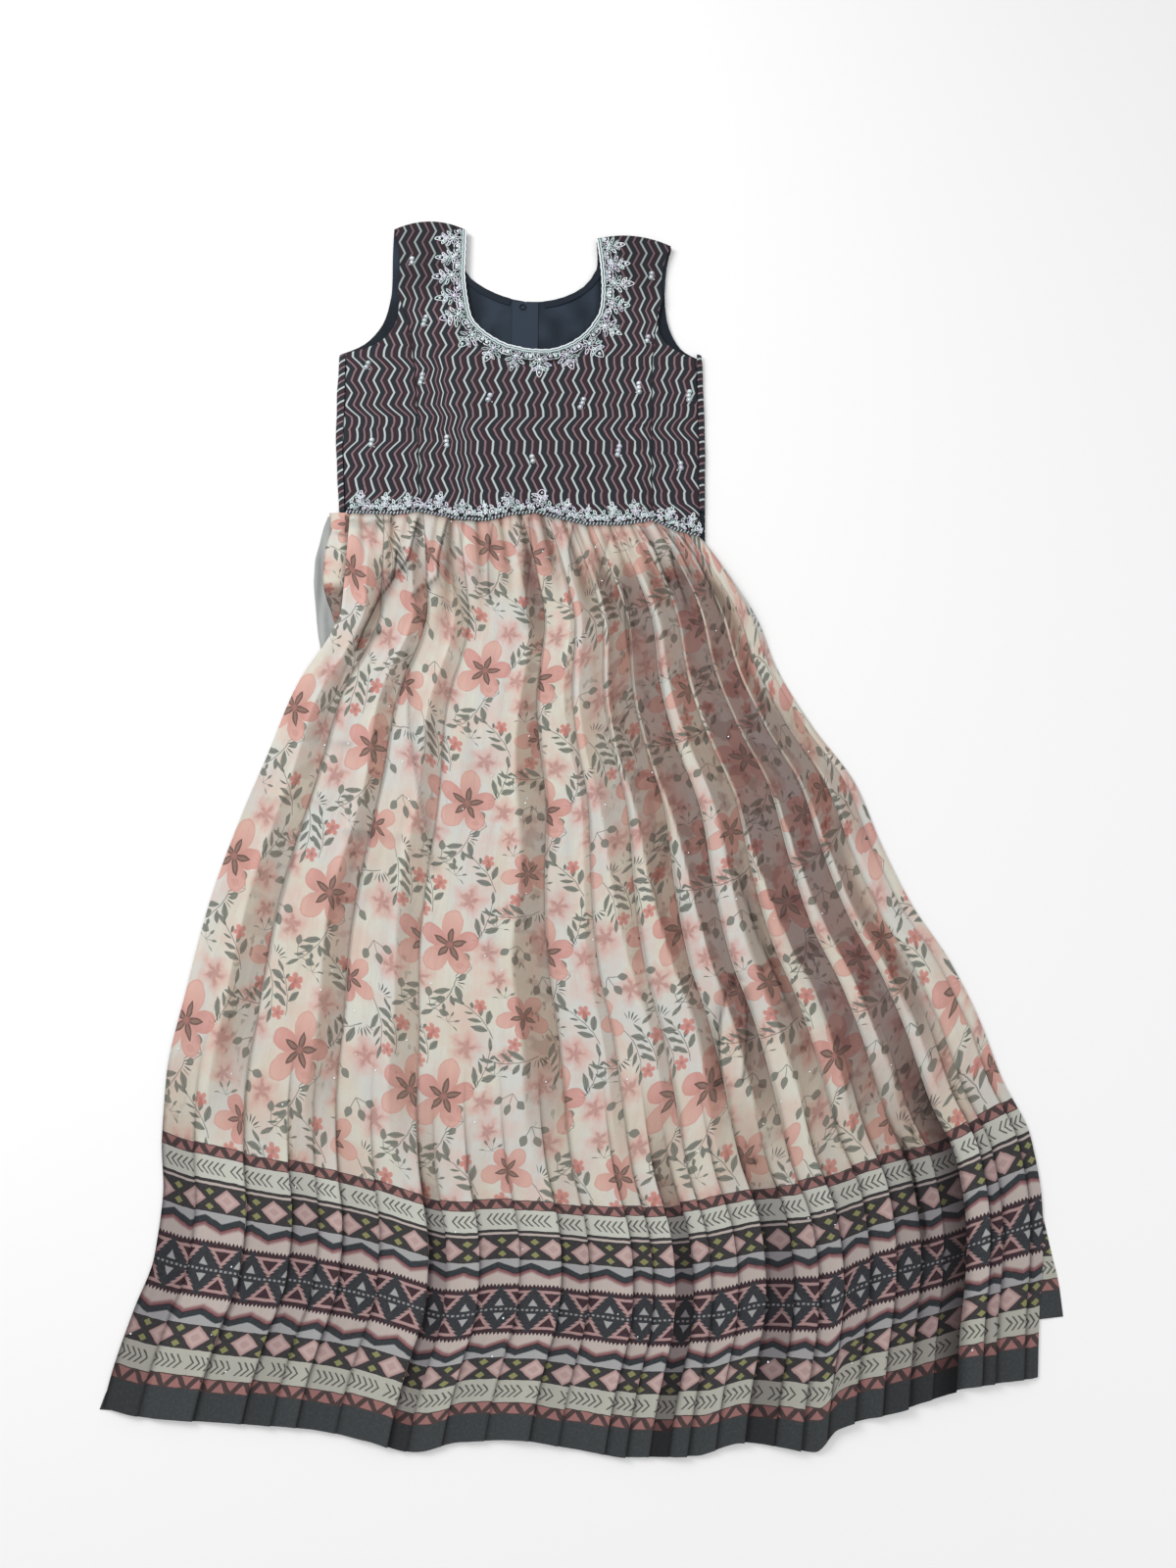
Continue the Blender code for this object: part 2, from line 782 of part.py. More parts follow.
def fold_relief(share, down):
    total = 0.0
    for fold in SOFT_FOLDS:
        offset = abs(share - fold.share) / fold.half_width
        if offset >= 1.0:
            continue
        form = 0.5 + 0.5 * math.cos(math.pi * offset)
        reach = smooth((down - fold.begin) / 0.12) * smooth((fold.end - down) / 0.12)
        total += fold.height * form * reach
    return total


def gather_relief(share, down):
    wave = 0.5 - 0.5 * math.cos(2.0 * math.pi * GATHERS * share)
    fade = 1.0 - smooth((down - 0.02) / GATHER_FADE)
    return GATHER_HEIGHT * wave * fade * smooth(down / 0.012)


def hem_relief(share, down):
    wave = 0.5 - 0.5 * math.cos(2.0 * math.pi * HEM_FOLDS * share)
    return HEM_FOLD_HEIGHT * wave * smooth((down - HEM_FOLD_START) / 0.2)


def skirt_level(share, down):
    """Underside of the front skirt above the surface it lies on."""
    lining_top = LINING_Z + LINING + SEAM_GAP
    base = SIDE_SEAM_Z + (FRONT_Z - SIDE_SEAM_Z) * (1.0 - smooth((down - 0.02) / 0.34))
    if share < 0.12 and down < 0.24:
        base = max(base, lining_top)
    side = min(share, 1.0 - share) / 0.022
    drop = 1.0 - smooth(side)
    if share < 0.5:
        drop *= smooth((down - 0.24) / 0.06)
    relief = pleat_relief(share, down) + fold_relief(share, down)
    relief += gather_relief(share, down) + hem_relief(share, down)
    return base - (base - SIDE_SEAM_Z) * drop + relief * smooth(min(share, 1.0 - share) / 0.012)


def build_skirt_front():
    plan = SkirtPlan(SKIRT_LEFT_EDGE, SKIRT_RIGHT_EDGE, FRONT_HEM)
    skirt_wall("skirt_front", plan, plan.fit_columns(skirt_columns()), SKIRT_ROWS, skirt_level)


def build_skirt_back():
    plan = SkirtPlan(BACK_SKIRT_LEFT_EDGE, BACK_SKIRT_RIGHT_EDGE, BACK_HEM)
    columns = plan.fit_columns(even_shares(BACK_SKIRT_COLUMNS))
    skirt_wall("skirt_back", plan, columns, even_shares(BACK_SKIRT_ROWS), flat_level(BACK_Z))


def build_skirt_lining():
    ys = [p.y for p in reversed(SKIRT_LINING)]
    outer = [p.outer for p in reversed(SKIRT_LINING)]
    inner = [p.inner for p in reversed(SKIRT_LINING)]
    lower = []
    upper = []
    for row in even_shares(14):
        y = ys[-1] + (ys[0] - ys[-1]) * row
        near = curve_value(ys, outer, y)
        far = curve_value(ys, inner, y)
        xs = [near + (far - near) * share for share in even_shares(3)]
        lower.append([(x, y, LINING_Z) for x in xs])
        upper.append([(x, y, LINING_Z + LINING) for x in xs])
    wall("skirt_lining", "lining_pale", lower, upper)


def main():
    clear_scene()
    build_bodice_back()
    build_back_facing()
    build_placket()
    build_neck_loop()
    center = build_bodice_front()
    build_neck_trim(center)
    build_waist_trim()
    build_skirt_back()
    build_skirt_lining()
    build_skirt_front()


main()
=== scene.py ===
"""Looks of a sleeveless anarkali gown laid flat: its cloths, prints, folds and embroidery.

Metres in the frame, with the tables in millimetres of the laid gown. X runs across the gown, +Y from
the hem to the shoulders, +Z up.
"""
import math
import random
from collections import namedtuple

import bpy
import numpy as np
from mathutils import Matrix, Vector, noise


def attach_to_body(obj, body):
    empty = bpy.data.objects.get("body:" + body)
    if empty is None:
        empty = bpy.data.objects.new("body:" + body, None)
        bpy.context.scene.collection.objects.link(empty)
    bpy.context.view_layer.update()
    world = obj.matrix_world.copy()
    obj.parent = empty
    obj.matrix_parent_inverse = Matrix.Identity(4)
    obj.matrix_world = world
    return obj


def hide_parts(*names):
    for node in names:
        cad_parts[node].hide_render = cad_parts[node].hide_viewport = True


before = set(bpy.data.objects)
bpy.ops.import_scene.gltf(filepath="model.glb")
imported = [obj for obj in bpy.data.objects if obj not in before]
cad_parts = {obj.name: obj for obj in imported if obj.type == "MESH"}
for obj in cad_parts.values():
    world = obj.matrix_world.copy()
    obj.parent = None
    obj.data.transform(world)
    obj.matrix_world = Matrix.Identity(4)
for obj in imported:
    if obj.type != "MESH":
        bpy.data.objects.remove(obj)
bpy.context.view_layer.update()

MM = 0.001
FOOTPRINT_SHIFT_Y = -7.0

# Heights of the outer faces of the layers, in millimetres
BACK_TOP = 1.5
LINING_TOP = 2.8
FRONT_TOP = 5.9

# Camera: height over the surface, tilt from straight down, focal length over the picture's height
CAMERA_X = 0.002
CAMERA_Y = -0.3265
CAMERA_HEIGHT = 1.1414
CAMERA_TILT = 14.5
FOCAL_SHARE = 1155.0 / 1600.0
SENSOR = 36.0

# Width and height of one repeat of the flower print, and the pitches of the border and the stripes
PRINT_REPEAT = (145.0, 145.0 * 1.02)
BORDER_PITCH = 34.0
TRIANGLE_PITCH = 21.0
STRIPE_PITCH = 17.8
ZIGZAG_PERIOD = 31.0

Station = namedtuple("Station", "near_x near_y far_x far_y bow corner")
FRONT_CENTER = (
    Station(-142, 652, -228, 653, -12, True),
    Station(-142, 620, -221, 624, 0, False),
    Station(-142, 591, -219, 594, 0, False),
    Station(-139, 564, -220, 566, 0, True),
    Station(-133, 535, -206, 522, 0, False),
    Station(-124, 521, -197, 468, 0, False),
    Station(-112, 510, -190, 390, 0, False),
    Station(-100, 502, -184, 283, 0, True),
    Station(-90, 497, -144, 274, 0, False),
    Station(-79, 494, -111, 272, 0, False),
    Station(-68, 491, -84, 279, 0, False),
    Station(-56, 490, -56, 282, 0, False),
    Station(-43, 490, -28, 274, 0, False),
    Station(-31, 493, 0, 267, 0, False),
    Station(-18, 499, 41, 267, 0, False),
    Station(-6, 508, 73, 272, 0, True),
    Station(3, 518, 74, 390, 0, False),
    Station(9, 528, 76, 470, 0, False),
    Station(14, 537, 81, 522, 0, False),
    Station(17, 550, 89, 556, 0, True),
    Station(18, 575, 88, 582, 0, False),
    Station(16, 608, 92, 606, 0, False),
    Station(12, 640, 100, 630, 9, True),
)
FRONT_LEFT = (
    Station(-278, 486, -220, 566, -26, True),
    Station(-276, 462, -206, 522, -14, False),
    Station(-275, 425, -197, 468, -6, False),
    Station(-274, 365, -190, 390, 0, False),
    Station(-267, 283, -184, 283, 0, True),
)
FRONT_RIGHT = (
    Station(89, 556, 127, 478, -24, True),
    Station(81, 522, 127, 455, -14, False),
    Station(76, 470, 127, 425, -5, False),
    Station(74, 390, 127, 375, 0, False),
    Station(73, 272, 125, 252, 0, True),
)
BACK_LEFT = (
    Station(-229, 653, -143, 652, 11, True),
    Station(-229, 620, -143, 625, 0, False),
    Station(-228, 585, -141, 597, 0, False),
    Station(-229, 560, -127, 581, 0, False),
    Station(-237, 525, -106, 568, 0, False),
    Station(-257, 499, -88, 561, 0, False),
    Station(-285, 485, -71, 557, 0, True),
    Station(-284, 430, -71, 470, 0, False),
    Station(-281, 365, -71, 380, 0, False),
    Station(-273, 283, -71, 281, 0, True),
)
BACK_RIGHT = (
    Station(12, 639, 101, 630, 9, True),
    Station(13, 620, 96, 610, 0, False),
    Station(11, 599, 93, 585, 0, False),
    Station(-3, 577, 92, 555, 0, False),
    Station(-26, 563, 96, 522, 0, False),
    Station(-50, 557, 110, 492, 0, False),
    Station(-71, 557, 133, 477, 0, True),
    Station(-71, 470, 134, 425, 0, False),
    Station(-71, 380, 134, 370, 0, False),
    Station(-71, 281, 131, 251, 0, True),
)

WaistPoint = namedtuple("WaistPoint", "x y")
WAIST = (
    WaistPoint(-275, 283), WaistPoint(-245, 281), WaistPoint(-209, 280), WaistPoint(-184, 283),
    WaistPoint(-144, 274), WaistPoint(-111, 272), WaistPoint(-84, 279), WaistPoint(-56, 282),
    WaistPoint(-28, 274), WaistPoint(0, 267), WaistPoint(41, 267), WaistPoint(73, 272),
    WaistPoint(96, 261), WaistPoint(131, 251),
)

EdgePoint = namedtuple("EdgePoint", "y x")
SKIRT_LEFT_EDGE = (
    EdgePoint(-612, -440), EdgePoint(-580, -434), EdgePoint(-530, -420), EdgePoint(-482, -405),
    EdgePoint(-430, -402), EdgePoint(-376, -408), EdgePoint(-321, -409), EdgePoint(-236, -397),
    EdgePoint(-148, -381), EdgePoint(-56, -355), EdgePoint(8, -333), EdgePoint(73, -312),
    EdgePoint(100, -299), EdgePoint(119, -287), EdgePoint(145, -273), EdgePoint(171, -265),
    EdgePoint(196, -264), EdgePoint(243, -262), EdgePoint(283, -261),
)
SKIRT_RIGHT_EDGE = (
    EdgePoint(-586, 414), EdgePoint(-530, 421), EdgePoint(-482, 429), EdgePoint(-430, 433),
    EdgePoint(-376, 428), EdgePoint(-321, 405), EdgePoint(-265, 388), EdgePoint(-207, 363),
    EdgePoint(-148, 328), EdgePoint(-87, 302), EdgePoint(-25, 280), EdgePoint(40, 237),
    EdgePoint(106, 202), EdgePoint(156, 186), EdgePoint(214, 154), EdgePoint(251, 130),
)


def beside(edge, lowest, highest, offset):
    """The part of an edge between two heights, moved sideways."""
    return [EdgePoint(point.y, point.x + offset) for point in edge if lowest <= point.y <= highest]


BACK_SKIRT_LEFT_EDGE = (
    EdgePoint(-613, -443), EdgePoint(-600, -439), *beside(SKIRT_LEFT_EDGE, -580, 73, 3),
    EdgePoint(106, -295), EdgePoint(135, -280), EdgePoint(196, -278), EdgePoint(243, -278),
    EdgePoint(283, -271),
)
BACK_SKIRT_RIGHT_EDGE = (
    EdgePoint(-535, 443), EdgePoint(-507, 442), EdgePoint(-482, 438), EdgePoint(-430, 431),
    *beside(SKIRT_RIGHT_EDGE, -376, 214, -4), EdgePoint(251, 128),
)
HemPoint = namedtuple("HemPoint", "share y")
FRONT_HEM = (
    HemPoint(0.00, -611), HemPoint(0.05, -619), HemPoint(0.15, -624), HemPoint(0.22, -628),
    HemPoint(0.28, -637), HemPoint(0.335, -647), HemPoint(0.38, -639), HemPoint(0.44, -637),
    HemPoint(0.50, -644), HemPoint(0.56, -651), HemPoint(0.63, -650), HemPoint(0.68, -639),
    HemPoint(0.725, -643), HemPoint(0.757, -647), HemPoint(0.782, -628), HemPoint(0.85, -613),
    HemPoint(0.92, -595), HemPoint(1.00, -586),
)
BACK_HEM = (
    HemPoint(0.00, -613), HemPoint(0.20, -621), HemPoint(0.45, -630), HemPoint(0.70, -612),
    HemPoint(0.88, -560), HemPoint(0.96, -539), HemPoint(1.00, -535),
)
# How far the rows of the skirts rise towards the sides
SIDE_LIFT_LEFT = 30.0
SIDE_LIFT_RIGHT = 48.0

# Strips of the front skirt between its fold edges: share of the width where each starts, share of the
# strip where the cloth lies on the layers folded under it, that share nearer the border, how much darker
# that is from those layers and from painted shade of the pleat, height of the fold edge at the strip's far
# end, and how strong the painted highlight along the pressed edge at its start is
Strip = namedtuple("Strip", "start band_from low_from band step ridge")
STRIPS = (
    Strip(0.000, 0.52, 0.52, 0.40, 2.0, 0.0),
    Strip(0.098, 0.66, 0.66, 0.46, 2.6, 0.2),
    Strip(0.208, 0.62, 0.62, 0.34, 2.0, 0.2),
    Strip(0.306, 0.74, 0.70, 0.50, 2.6, 0.2),
    Strip(0.486, 0.80, 0.78, 0.32, 2.0, 0.3),
    Strip(0.557, 0.20, 0.70, 0.36, 3.0, 0.5),
    Strip(0.622, 0.12, 0.62, 0.58, 3.2, 0.8),
    Strip(0.683, 0.05, 0.54, 0.76, 3.6, 0.9),
    Strip(0.742, 0.30, 0.46, 0.58, 3.8, 1.0),
    Strip(0.800, 0.05, 0.34, 0.88, 4.0, 0.9),
    Strip(0.858, 0.05, 0.34, 0.88, 3.6, 1.0),
    Strip(0.910, 0.05, 0.30, 0.66, 3.2, 0.9),
    Strip(0.952, 0.06, 0.40, 0.42, 2.4, 0.8),
    Strip(0.984, 0.60, 0.60, 0.20, 1.2, 0.5),
)
# Pressed facets of the skirt near the hem: share where each starts, darkness of its painted shade, how far
# the print slips along the pleat, cloth hidden in the tuck at its start, and height of the roof over its far
# end
Facet = namedtuple("Facet", "start tone slip tuck roof")
FACETS = (
    Facet(0.000, 0.28, 0.0, 0.0, 1.2), Facet(0.039, 0.00, -0.8, 3.0, 1.6),
    Facet(0.098, 0.06, 1.2, 0.0, 1.4), Facet(0.150, 0.18, -1.0, 4.0, 1.8),
    Facet(0.181, 0.00, 0.6, 2.0, 1.0), Facet(0.208, 0.10, 1.4, 0.0, 1.4),
    Facet(0.250, 0.00, -0.7, 3.0, 1.8), Facet(0.306, 0.42, 2.0, 0.0, 1.0),
    Facet(0.326, 0.00, 0.9, 5.0, 1.4), Facet(0.363, 0.07, -0.9, 2.0, 1.8),
    Facet(0.408, 0.00, 0.8, 3.0, 1.6), Facet(0.455, 0.12, 2.2, 5.0, 1.2),
    Facet(0.486, 0.00, 0.7, 0.0, 1.5), Facet(0.535, 0.10, -0.8, 2.0, 1.2),
    Facet(0.557, 0.02, 0.9, 0.0, 1.0), Facet(0.582, 0.55, 2.4, 6.0, 1.2),
    Facet(0.602, 0.06, -0.6, 4.0, 1.4), Facet(0.622, 0.04, 0.4, 0.0, 1.2),
    Facet(0.652, 0.10, 1.2, 3.0, 1.8), Facet(0.683, 0.46, 2.6, 0.0, 2.0),
    Facet(0.714, 0.14, 1.1, 5.0, 1.6), Facet(0.742, 0.08, -0.8, 0.0, 1.4),
    Facet(0.770, 0.22, 1.6, 4.0, 1.6), Facet(0.800, 0.12, 0.6, 0.0, 1.6),
    Facet(0.830, 0.30, -1.1, 3.0, 1.4), Facet(0.858, 0.40, 1.7, 0.0, 1.6),
    Facet(0.884, 0.92, 2.6, 7.0, 2.6), Facet(0.910, 0.02, -1.2, 0.0, 1.6),
    Facet(0.938, 0.26, 1.0, 4.0, 1.8), Facet(0.952, 0.12, -0.6, 0.0, 1.2),
    Facet(0.984, 0.12, 0.8, 0.0, 0.8),
)
# Reach, as a share of the width, over which the hem's waves are averaged out of the border's top line
HEM_WAVE_REACH = 0.05
# How tall the print stands across the skirt: share of the width, stretch
PRINT_STRETCH = ((0.0, 1.146), (0.06, 1.12), (0.13, 1.085), (0.22, 1.05), (0.36, 0.99), (0.45, 0.975),
                 (0.62, 1.02), (0.70, 1.05), (0.78, 1.06), (0.88, 1.05), (1.0, 1.17))
# Gathers at the waist: share at the seam, share at the lower end, reach down the skirt, width, depth,
# and how dark the painted shade in the valley is
Gather = namedtuple("Gather", "top low reach width depth dark")
GATHERS = (
    Gather(0.035, 0.060, 0.10, 0.006, 1.6, 0.35), Gather(0.085, 0.075, 0.06, 0.005, 1.2, 0.30),
    Gather(0.125, 0.112, 0.16, 0.008, 2.4, 0.55), Gather(0.165, 0.150, 0.05, 0.005, 1.1, 0.30),
    Gather(0.205, 0.170, 0.12, 0.007, 1.8, 0.45), Gather(0.250, 0.215, 0.08, 0.006, 1.5, 0.35),
    Gather(0.290, 0.235, 0.20, 0.010, 2.8, 0.75), Gather(0.325, 0.290, 0.07, 0.005, 1.2, 0.30),
    Gather(0.362, 0.340, 0.15, 0.008, 2.2, 0.55), Gather(0.395, 0.380, 0.06, 0.005, 1.2, 0.30),
    Gather(0.428, 0.412, 0.13, 0.007, 2.0, 0.55), Gather(0.455, 0.440, 0.05, 0.004, 1.0, 0.30),
    Gather(0.482, 0.468, 0.19, 0.009, 2.6, 0.70), Gather(0.512, 0.498, 0.07, 0.005, 1.4, 0.35),
    Gather(0.545, 0.535, 0.12, 0.010, 2.6, 0.95), Gather(0.575, 0.570, 0.06, 0.005, 1.2, 0.35),
    Gather(0.605, 0.598, 0.16, 0.007, 2.0, 0.55), Gather(0.640, 0.636, 0.08, 0.005, 1.3, 0.35),
    Gather(0.672, 0.660, 0.14, 0.007, 2.0, 0.60), Gather(0.705, 0.700, 0.06, 0.005, 1.2, 0.35),
    Gather(0.735, 0.722, 0.10, 0.006, 1.8, 0.55), Gather(0.768, 0.756, 0.07, 0.005, 1.4, 0.40),
    Gather(0.795, 0.782, 0.12, 0.006, 1.8, 0.55), Gather(0.828, 0.820, 0.06, 0.005, 1.2, 0.40),
    Gather(0.862, 0.850, 0.10, 0.006, 1.6, 0.50), Gather(0.895, 0.888, 0.07, 0.005, 1.4, 0.40),
    Gather(0.925, 0.920, 0.09, 0.005, 1.5, 0.45), Gather(0.960, 0.962, 0.06, 0.005, 1.2, 0.35),
)
# Pinched folds of the front skirt: points of the fold line from its top, how far the cloth on the side
# given (-1 left, 1 right) stands over the rest, how far back that height fades, and how dark the line is
Pinch = namedtuple("Pinch", "points side height fade dark")
PINCHES = (
    Pinch(((-208, 236), (-209, 206), (-222, 186), (-239, 144), (-246, 122)), -1, 2.6, 34.0, 1.0),
    Pinch(((-186, 274), (-194, 228), (-203, 214), (-213, 205)), -1, 1.8, 16.0, 0.9),
    Pinch(((-153, 276), (-162, 230), (-162, 206), (-188, 185)), -1, 2.2, 20.0, 0.8),
    Pinch(((-245, 143), (-232, 140), (-221, 144)), 1, 1.2, 8.0, 0.7),
    Pinch(((-262, 274), (-240, 271), (-214, 274)), 1, 1.4, 9.0, 0.7),
    Pinch(((-104, 268), (-108, 226), (-106, 186)), -1, 1.3, 14.0, 0.5),
    Pinch(((-62, 276), (-58, 236), (-64, 180), (-60, 150)), 1, 1.4, 14.0, 0.6),
    Pinch(((-15, 268), (-20, 238), (-16, 214)), -1, 1.4, 14.0, 0.7),
    Pinch(((28, 262), (20, 226), (12, 196)), 1, 1.2, 12.0, 0.5),
    Pinch(((58, 264), (72, 240), (88, 196)), -1, 2.0, 16.0, 0.8),
    Pinch(((84, 262), (100, 236), (112, 208)), -1, 1.6, 12.0, 0.8),
    Pinch(((104, 252), (118, 230), (134, 190), (142, 166)), -1, 1.8, 12.0, 0.8),
    Pinch(((154, -228), (146, -232), (139, -241), (134, -264), (131, -293), (134, -330)), 1, 2.2, 14.0, 0.9),
    Pinch(((155, -238), (157, -264), (155, -293), (152, -321)), -1, 1.6, 12.0, 0.8),
    Pinch(((153, -124), (166, -167), (172, -187), (188, -226), (201, -264)), -1, 1.6, 12.0, 0.8),
    Pinch(((40, 188), (41, 151), (44, 119)), -1, 1.0, 10.0, 0.6),
    Pinch(((305, -376), (312, -402), (319, -440), (323, -474)), 1, 1.8, 12.0, 1.0),
    Pinch(((91, 238), (95, 210), (106, 176)), -1, 1.2, 9.0, 0.7),
    Pinch(((-210, 212), (-239, 145), (-266, 67), (-279, 20)), 1, 1.4, 16.0, 0.45),
    Pinch(((-192, 121), (-187, 35), (-174, -34), (-156, -114)), -1, 1.2, 12.0, 0.4),
    Pinch(((-284, 24), (-266, 23), (-247, 19)), 1, 0.6, 5.0, 0.28),
    Pinch(((-329, -39), (-298, -39), (-268, -42)), 1, 0.6, 5.0, 0.24),
    Pinch(((-247, -75), (-220, -76), (-194, -79)), 1, 0.6, 5.0, 0.28),
)
# Grid of the front skirt: width of a column in millimetres at the hem, rows, how they crowd towards the
# waist, and the share of the width that the upright step of a fold takes
SKIRT_COLUMN = 2.5
SKIRT_ROWS = 190
ROW_POWER = 1.12
RISER = 0.0006
# Width of the skirt at the hem and in the middle, and where down it the pressed facets fade in
HEM_WIDTH = 860.0
MIDDLE_WIDTH = 780.0
FACETS_FROM = 0.62
FACETS_FADE = 0.16
# Sequins scattered over the skirt
SEQUIN_COUNT = 80
# The trims: radius of the cord, points and turns of a scroll, the direction away from the base line, and
# how many motifs each trim has
TRIM_CORD = 0.62
SCROLL_POINTS = 14
SCROLL_TURNS = 1.2
UPRIGHT = math.pi / 2.0
NECK_MOTIFS = 16
WAIST_MOTIFS = 14
# Half the floor's width in metres, strength of the white world, and the two lights
FLOOR_REACH = 6.0
WORLD_LIGHT = 0.62
StudioLight = namedtuple("StudioLight", "name place energy size")
LIGHTS = (
    StudioLight("key", (-1.6, 1.1, 1.5), 34.0, 1.1),
    StudioLight("fill", (1.5, -0.8, 1.8), 9.0, 1.6),
)


def srgb(red, green, blue):
    """Linear colour of a screen colour given from 0 to 255."""
    levels = []
    for level in (red, green, blue):
        share = level / 255.0
        levels.append(share / 12.92 if share <= 0.04045 else ((share + 0.055) / 1.055) ** 2.4)
    return tuple(levels)


def smooth(value):
    """Soft step from 0 to 1."""
    value = np.clip(value, 0.0, 1.0)
    return value * value * (3.0 - 2.0 * value)


def bell(offset, width):
    """1 at an offset of 0, falling off softly on both sides over the width."""
    return np.exp(-((offset / width) ** 2))


def with_heights(points, heights):
    return np.concatenate([points, heights[..., None]], axis=-1)


def curve(xs, ys, x):
    """Smooth curve through points that never overshoots, read at an array of places."""
    xs = np.asarray(xs, float)
    ys = np.asarray(ys, float)
    x = np.clip(np.asarray(x, float), xs[0], xs[-1])
    chords = np.diff(ys) / np.diff(xs)
    slopes = np.empty_like(ys)
    slopes[0] = chords[0]
    slopes[-1] = chords[-1]
    before = chords[:-1]
    after = chords[1:]
    total = np.where(before + after == 0.0, 1.0, before + after)
    slopes[1:-1] = np.where(before * after > 0.0, 2.0 * before * after / total, 0.0)
    index = np.clip(np.searchsorted(xs, x, side="right") - 1, 0, len(xs) - 2)
    width = xs[index + 1] - xs[index]
    t = (x - xs[index]) / width
    square = t * t
    cube = square * t
    return (ys[index] * (2 * cube - 3 * square + 1) + ys[index + 1] * (3 * square - 2 * cube)
            + width * (slopes[index] * (cube - 2 * square + t) + slopes[index + 1] * (cube - square)))


def waist_y(x):
    return np.interp(x, [p.x for p in WAIST], [p.y for p in WAIST])


def table_curve(table, x):
    return curve([p[0] for p in table], [p[1] for p in table], x)


def ripple(points, scale, stretch, seed):
    """Smooth noise from -1 to 1 at plan points, in millimetres."""
    flat = points.reshape(-1, 2)
    values = [noise.noise(Vector((x / scale * stretch[0], y / scale * stretch[1], seed))) for x, y in flat]
    return np.array(values).reshape(points.shape[:-1])


# Meshes

def grid_faces(rows, columns, first=0):
    index = np.arange(rows * columns).reshape(rows, columns) + first
    corners = (index[:-1, :-1], index[:-1, 1:], index[1:, 1:], index[1:, :-1])
    return np.stack(corners, axis=-1).reshape(-1, 4)


def make_object(name, points, faces, cloth=None, values=None, material=None, flat_shaded=False):
    """A mesh object from points in millimetres, with its cloth coordinates and named values."""
    placed = np.asarray(points, float).copy()
    placed[:, 1] += FOOTPRINT_SHIFT_Y
    mesh = bpy.data.meshes.new(name)
    mesh.from_pydata((placed * MM).tolist(), [], [list(map(int, face)) for face in faces])
    mesh.update()
    if cloth is not None:
        layer = mesh.uv_layers.new(name="cloth")
        corners = np.empty(len(mesh.loops), dtype=np.int64)
        mesh.loops.foreach_get("vertex_index", corners)
        layer.data.foreach_set("uv", (np.asarray(cloth, float)[corners] * MM).ravel())
    for key, levels in (values or {}).items():
        attribute = mesh.attributes.new(key, "FLOAT", "POINT")
        attribute.data.foreach_set("value", np.asarray(levels, float).ravel())
    if not flat_shaded:
        mesh.shade_smooth()
    item = bpy.data.objects.new(name, mesh)
    bpy.context.collection.objects.link(item)
    if material:
        mesh.materials.append(material)
    return item


class Grid:
    """Grids of cloth points gathered into one mesh."""

    def __init__(self):
        self.points = []
        self.faces = []
        self.cloth = []
        self.values = {}
        self.count = 0

    def add(self, points, cloth, **values):
        rows, columns = points.shape[:2]
        first_step = points[0, 1, :2] - points[0, 0, :2]
        next_row = points[1, 0, :2] - points[0, 0, :2]
        faces = grid_faces(rows, columns, self.count)
        if first_step[0] * next_row[1] - first_step[1] * next_row[0] < 0.0:
            faces = faces[:, ::-1]
        self.points.append(points.reshape(-1, 3))
        self.faces.append(faces)
        self.cloth.append(cloth.reshape(-1, 2))
        for key in sorted(set(self.values) | set(values)):
            earlier = self.values.get(key, [np.zeros(self.count)])
            level = values.get(key, np.zeros((rows, columns)))
            self.values[key] = earlier + [np.broadcast_to(level, (rows, columns)).reshape(-1)]
        self.count += rows * columns

    def build(self, name, material):
        values = {key: np.concatenate(parts) for key, parts in self.values.items()}
        return make_object(name, np.concatenate(self.points), np.concatenate(self.faces),
                           np.concatenate(self.cloth), values, material)


# Node formulas

class Wire:
    """A number in a node tree that takes part in sums, so that a pattern reads as a formula."""

    def __init__(self, tree, socket):
        self.tree = tree
        self.socket = socket

    def math(self, kind, *others, clamp=False):
        node = self.tree.nodes.new("ShaderNodeMath")
        node.operation = kind
        node.use_clamp = clamp
        for place, value in enumerate((self,) + others):
            if isinstance(value, Wire):
                self.tree.links.new(value.socket, node.inputs[place])
            else:
                node.inputs[place].default_value = value
        return Wire(self.tree, node.outputs[0])

    def __add__(self, other):
        return self.math("ADD", other)

    def __sub__(self, other):
        return self.math("SUBTRACT", other)

    def __rsub__(self, other):
        return self.math("MULTIPLY_ADD", -1.0, other)

    def __mul__(self, other):
        return self.math("MULTIPLY", other)

    def __truediv__(self, other):
        return self.math("DIVIDE", other)

    def __abs__(self):
        return self.math("ABSOLUTE")

    __radd__ = __add__
    __rmul__ = __mul__

    def fract(self):
        return self.math("FRACT")

    def above(self, level):
        return self.math("GREATER_THAN", level)

    def below(self, level):
        return self.math("LESS_THAN", level)

    def edge(self, softness):
        """1 where the number is above 0, 0 where it is below, with a soft edge."""
        return self.math("MULTIPLY_ADD", 1.0 / softness, 0.5, clamp=True)

    def times_plus(self, factor, term):
        return self.math("MULTIPLY_ADD", factor, term)


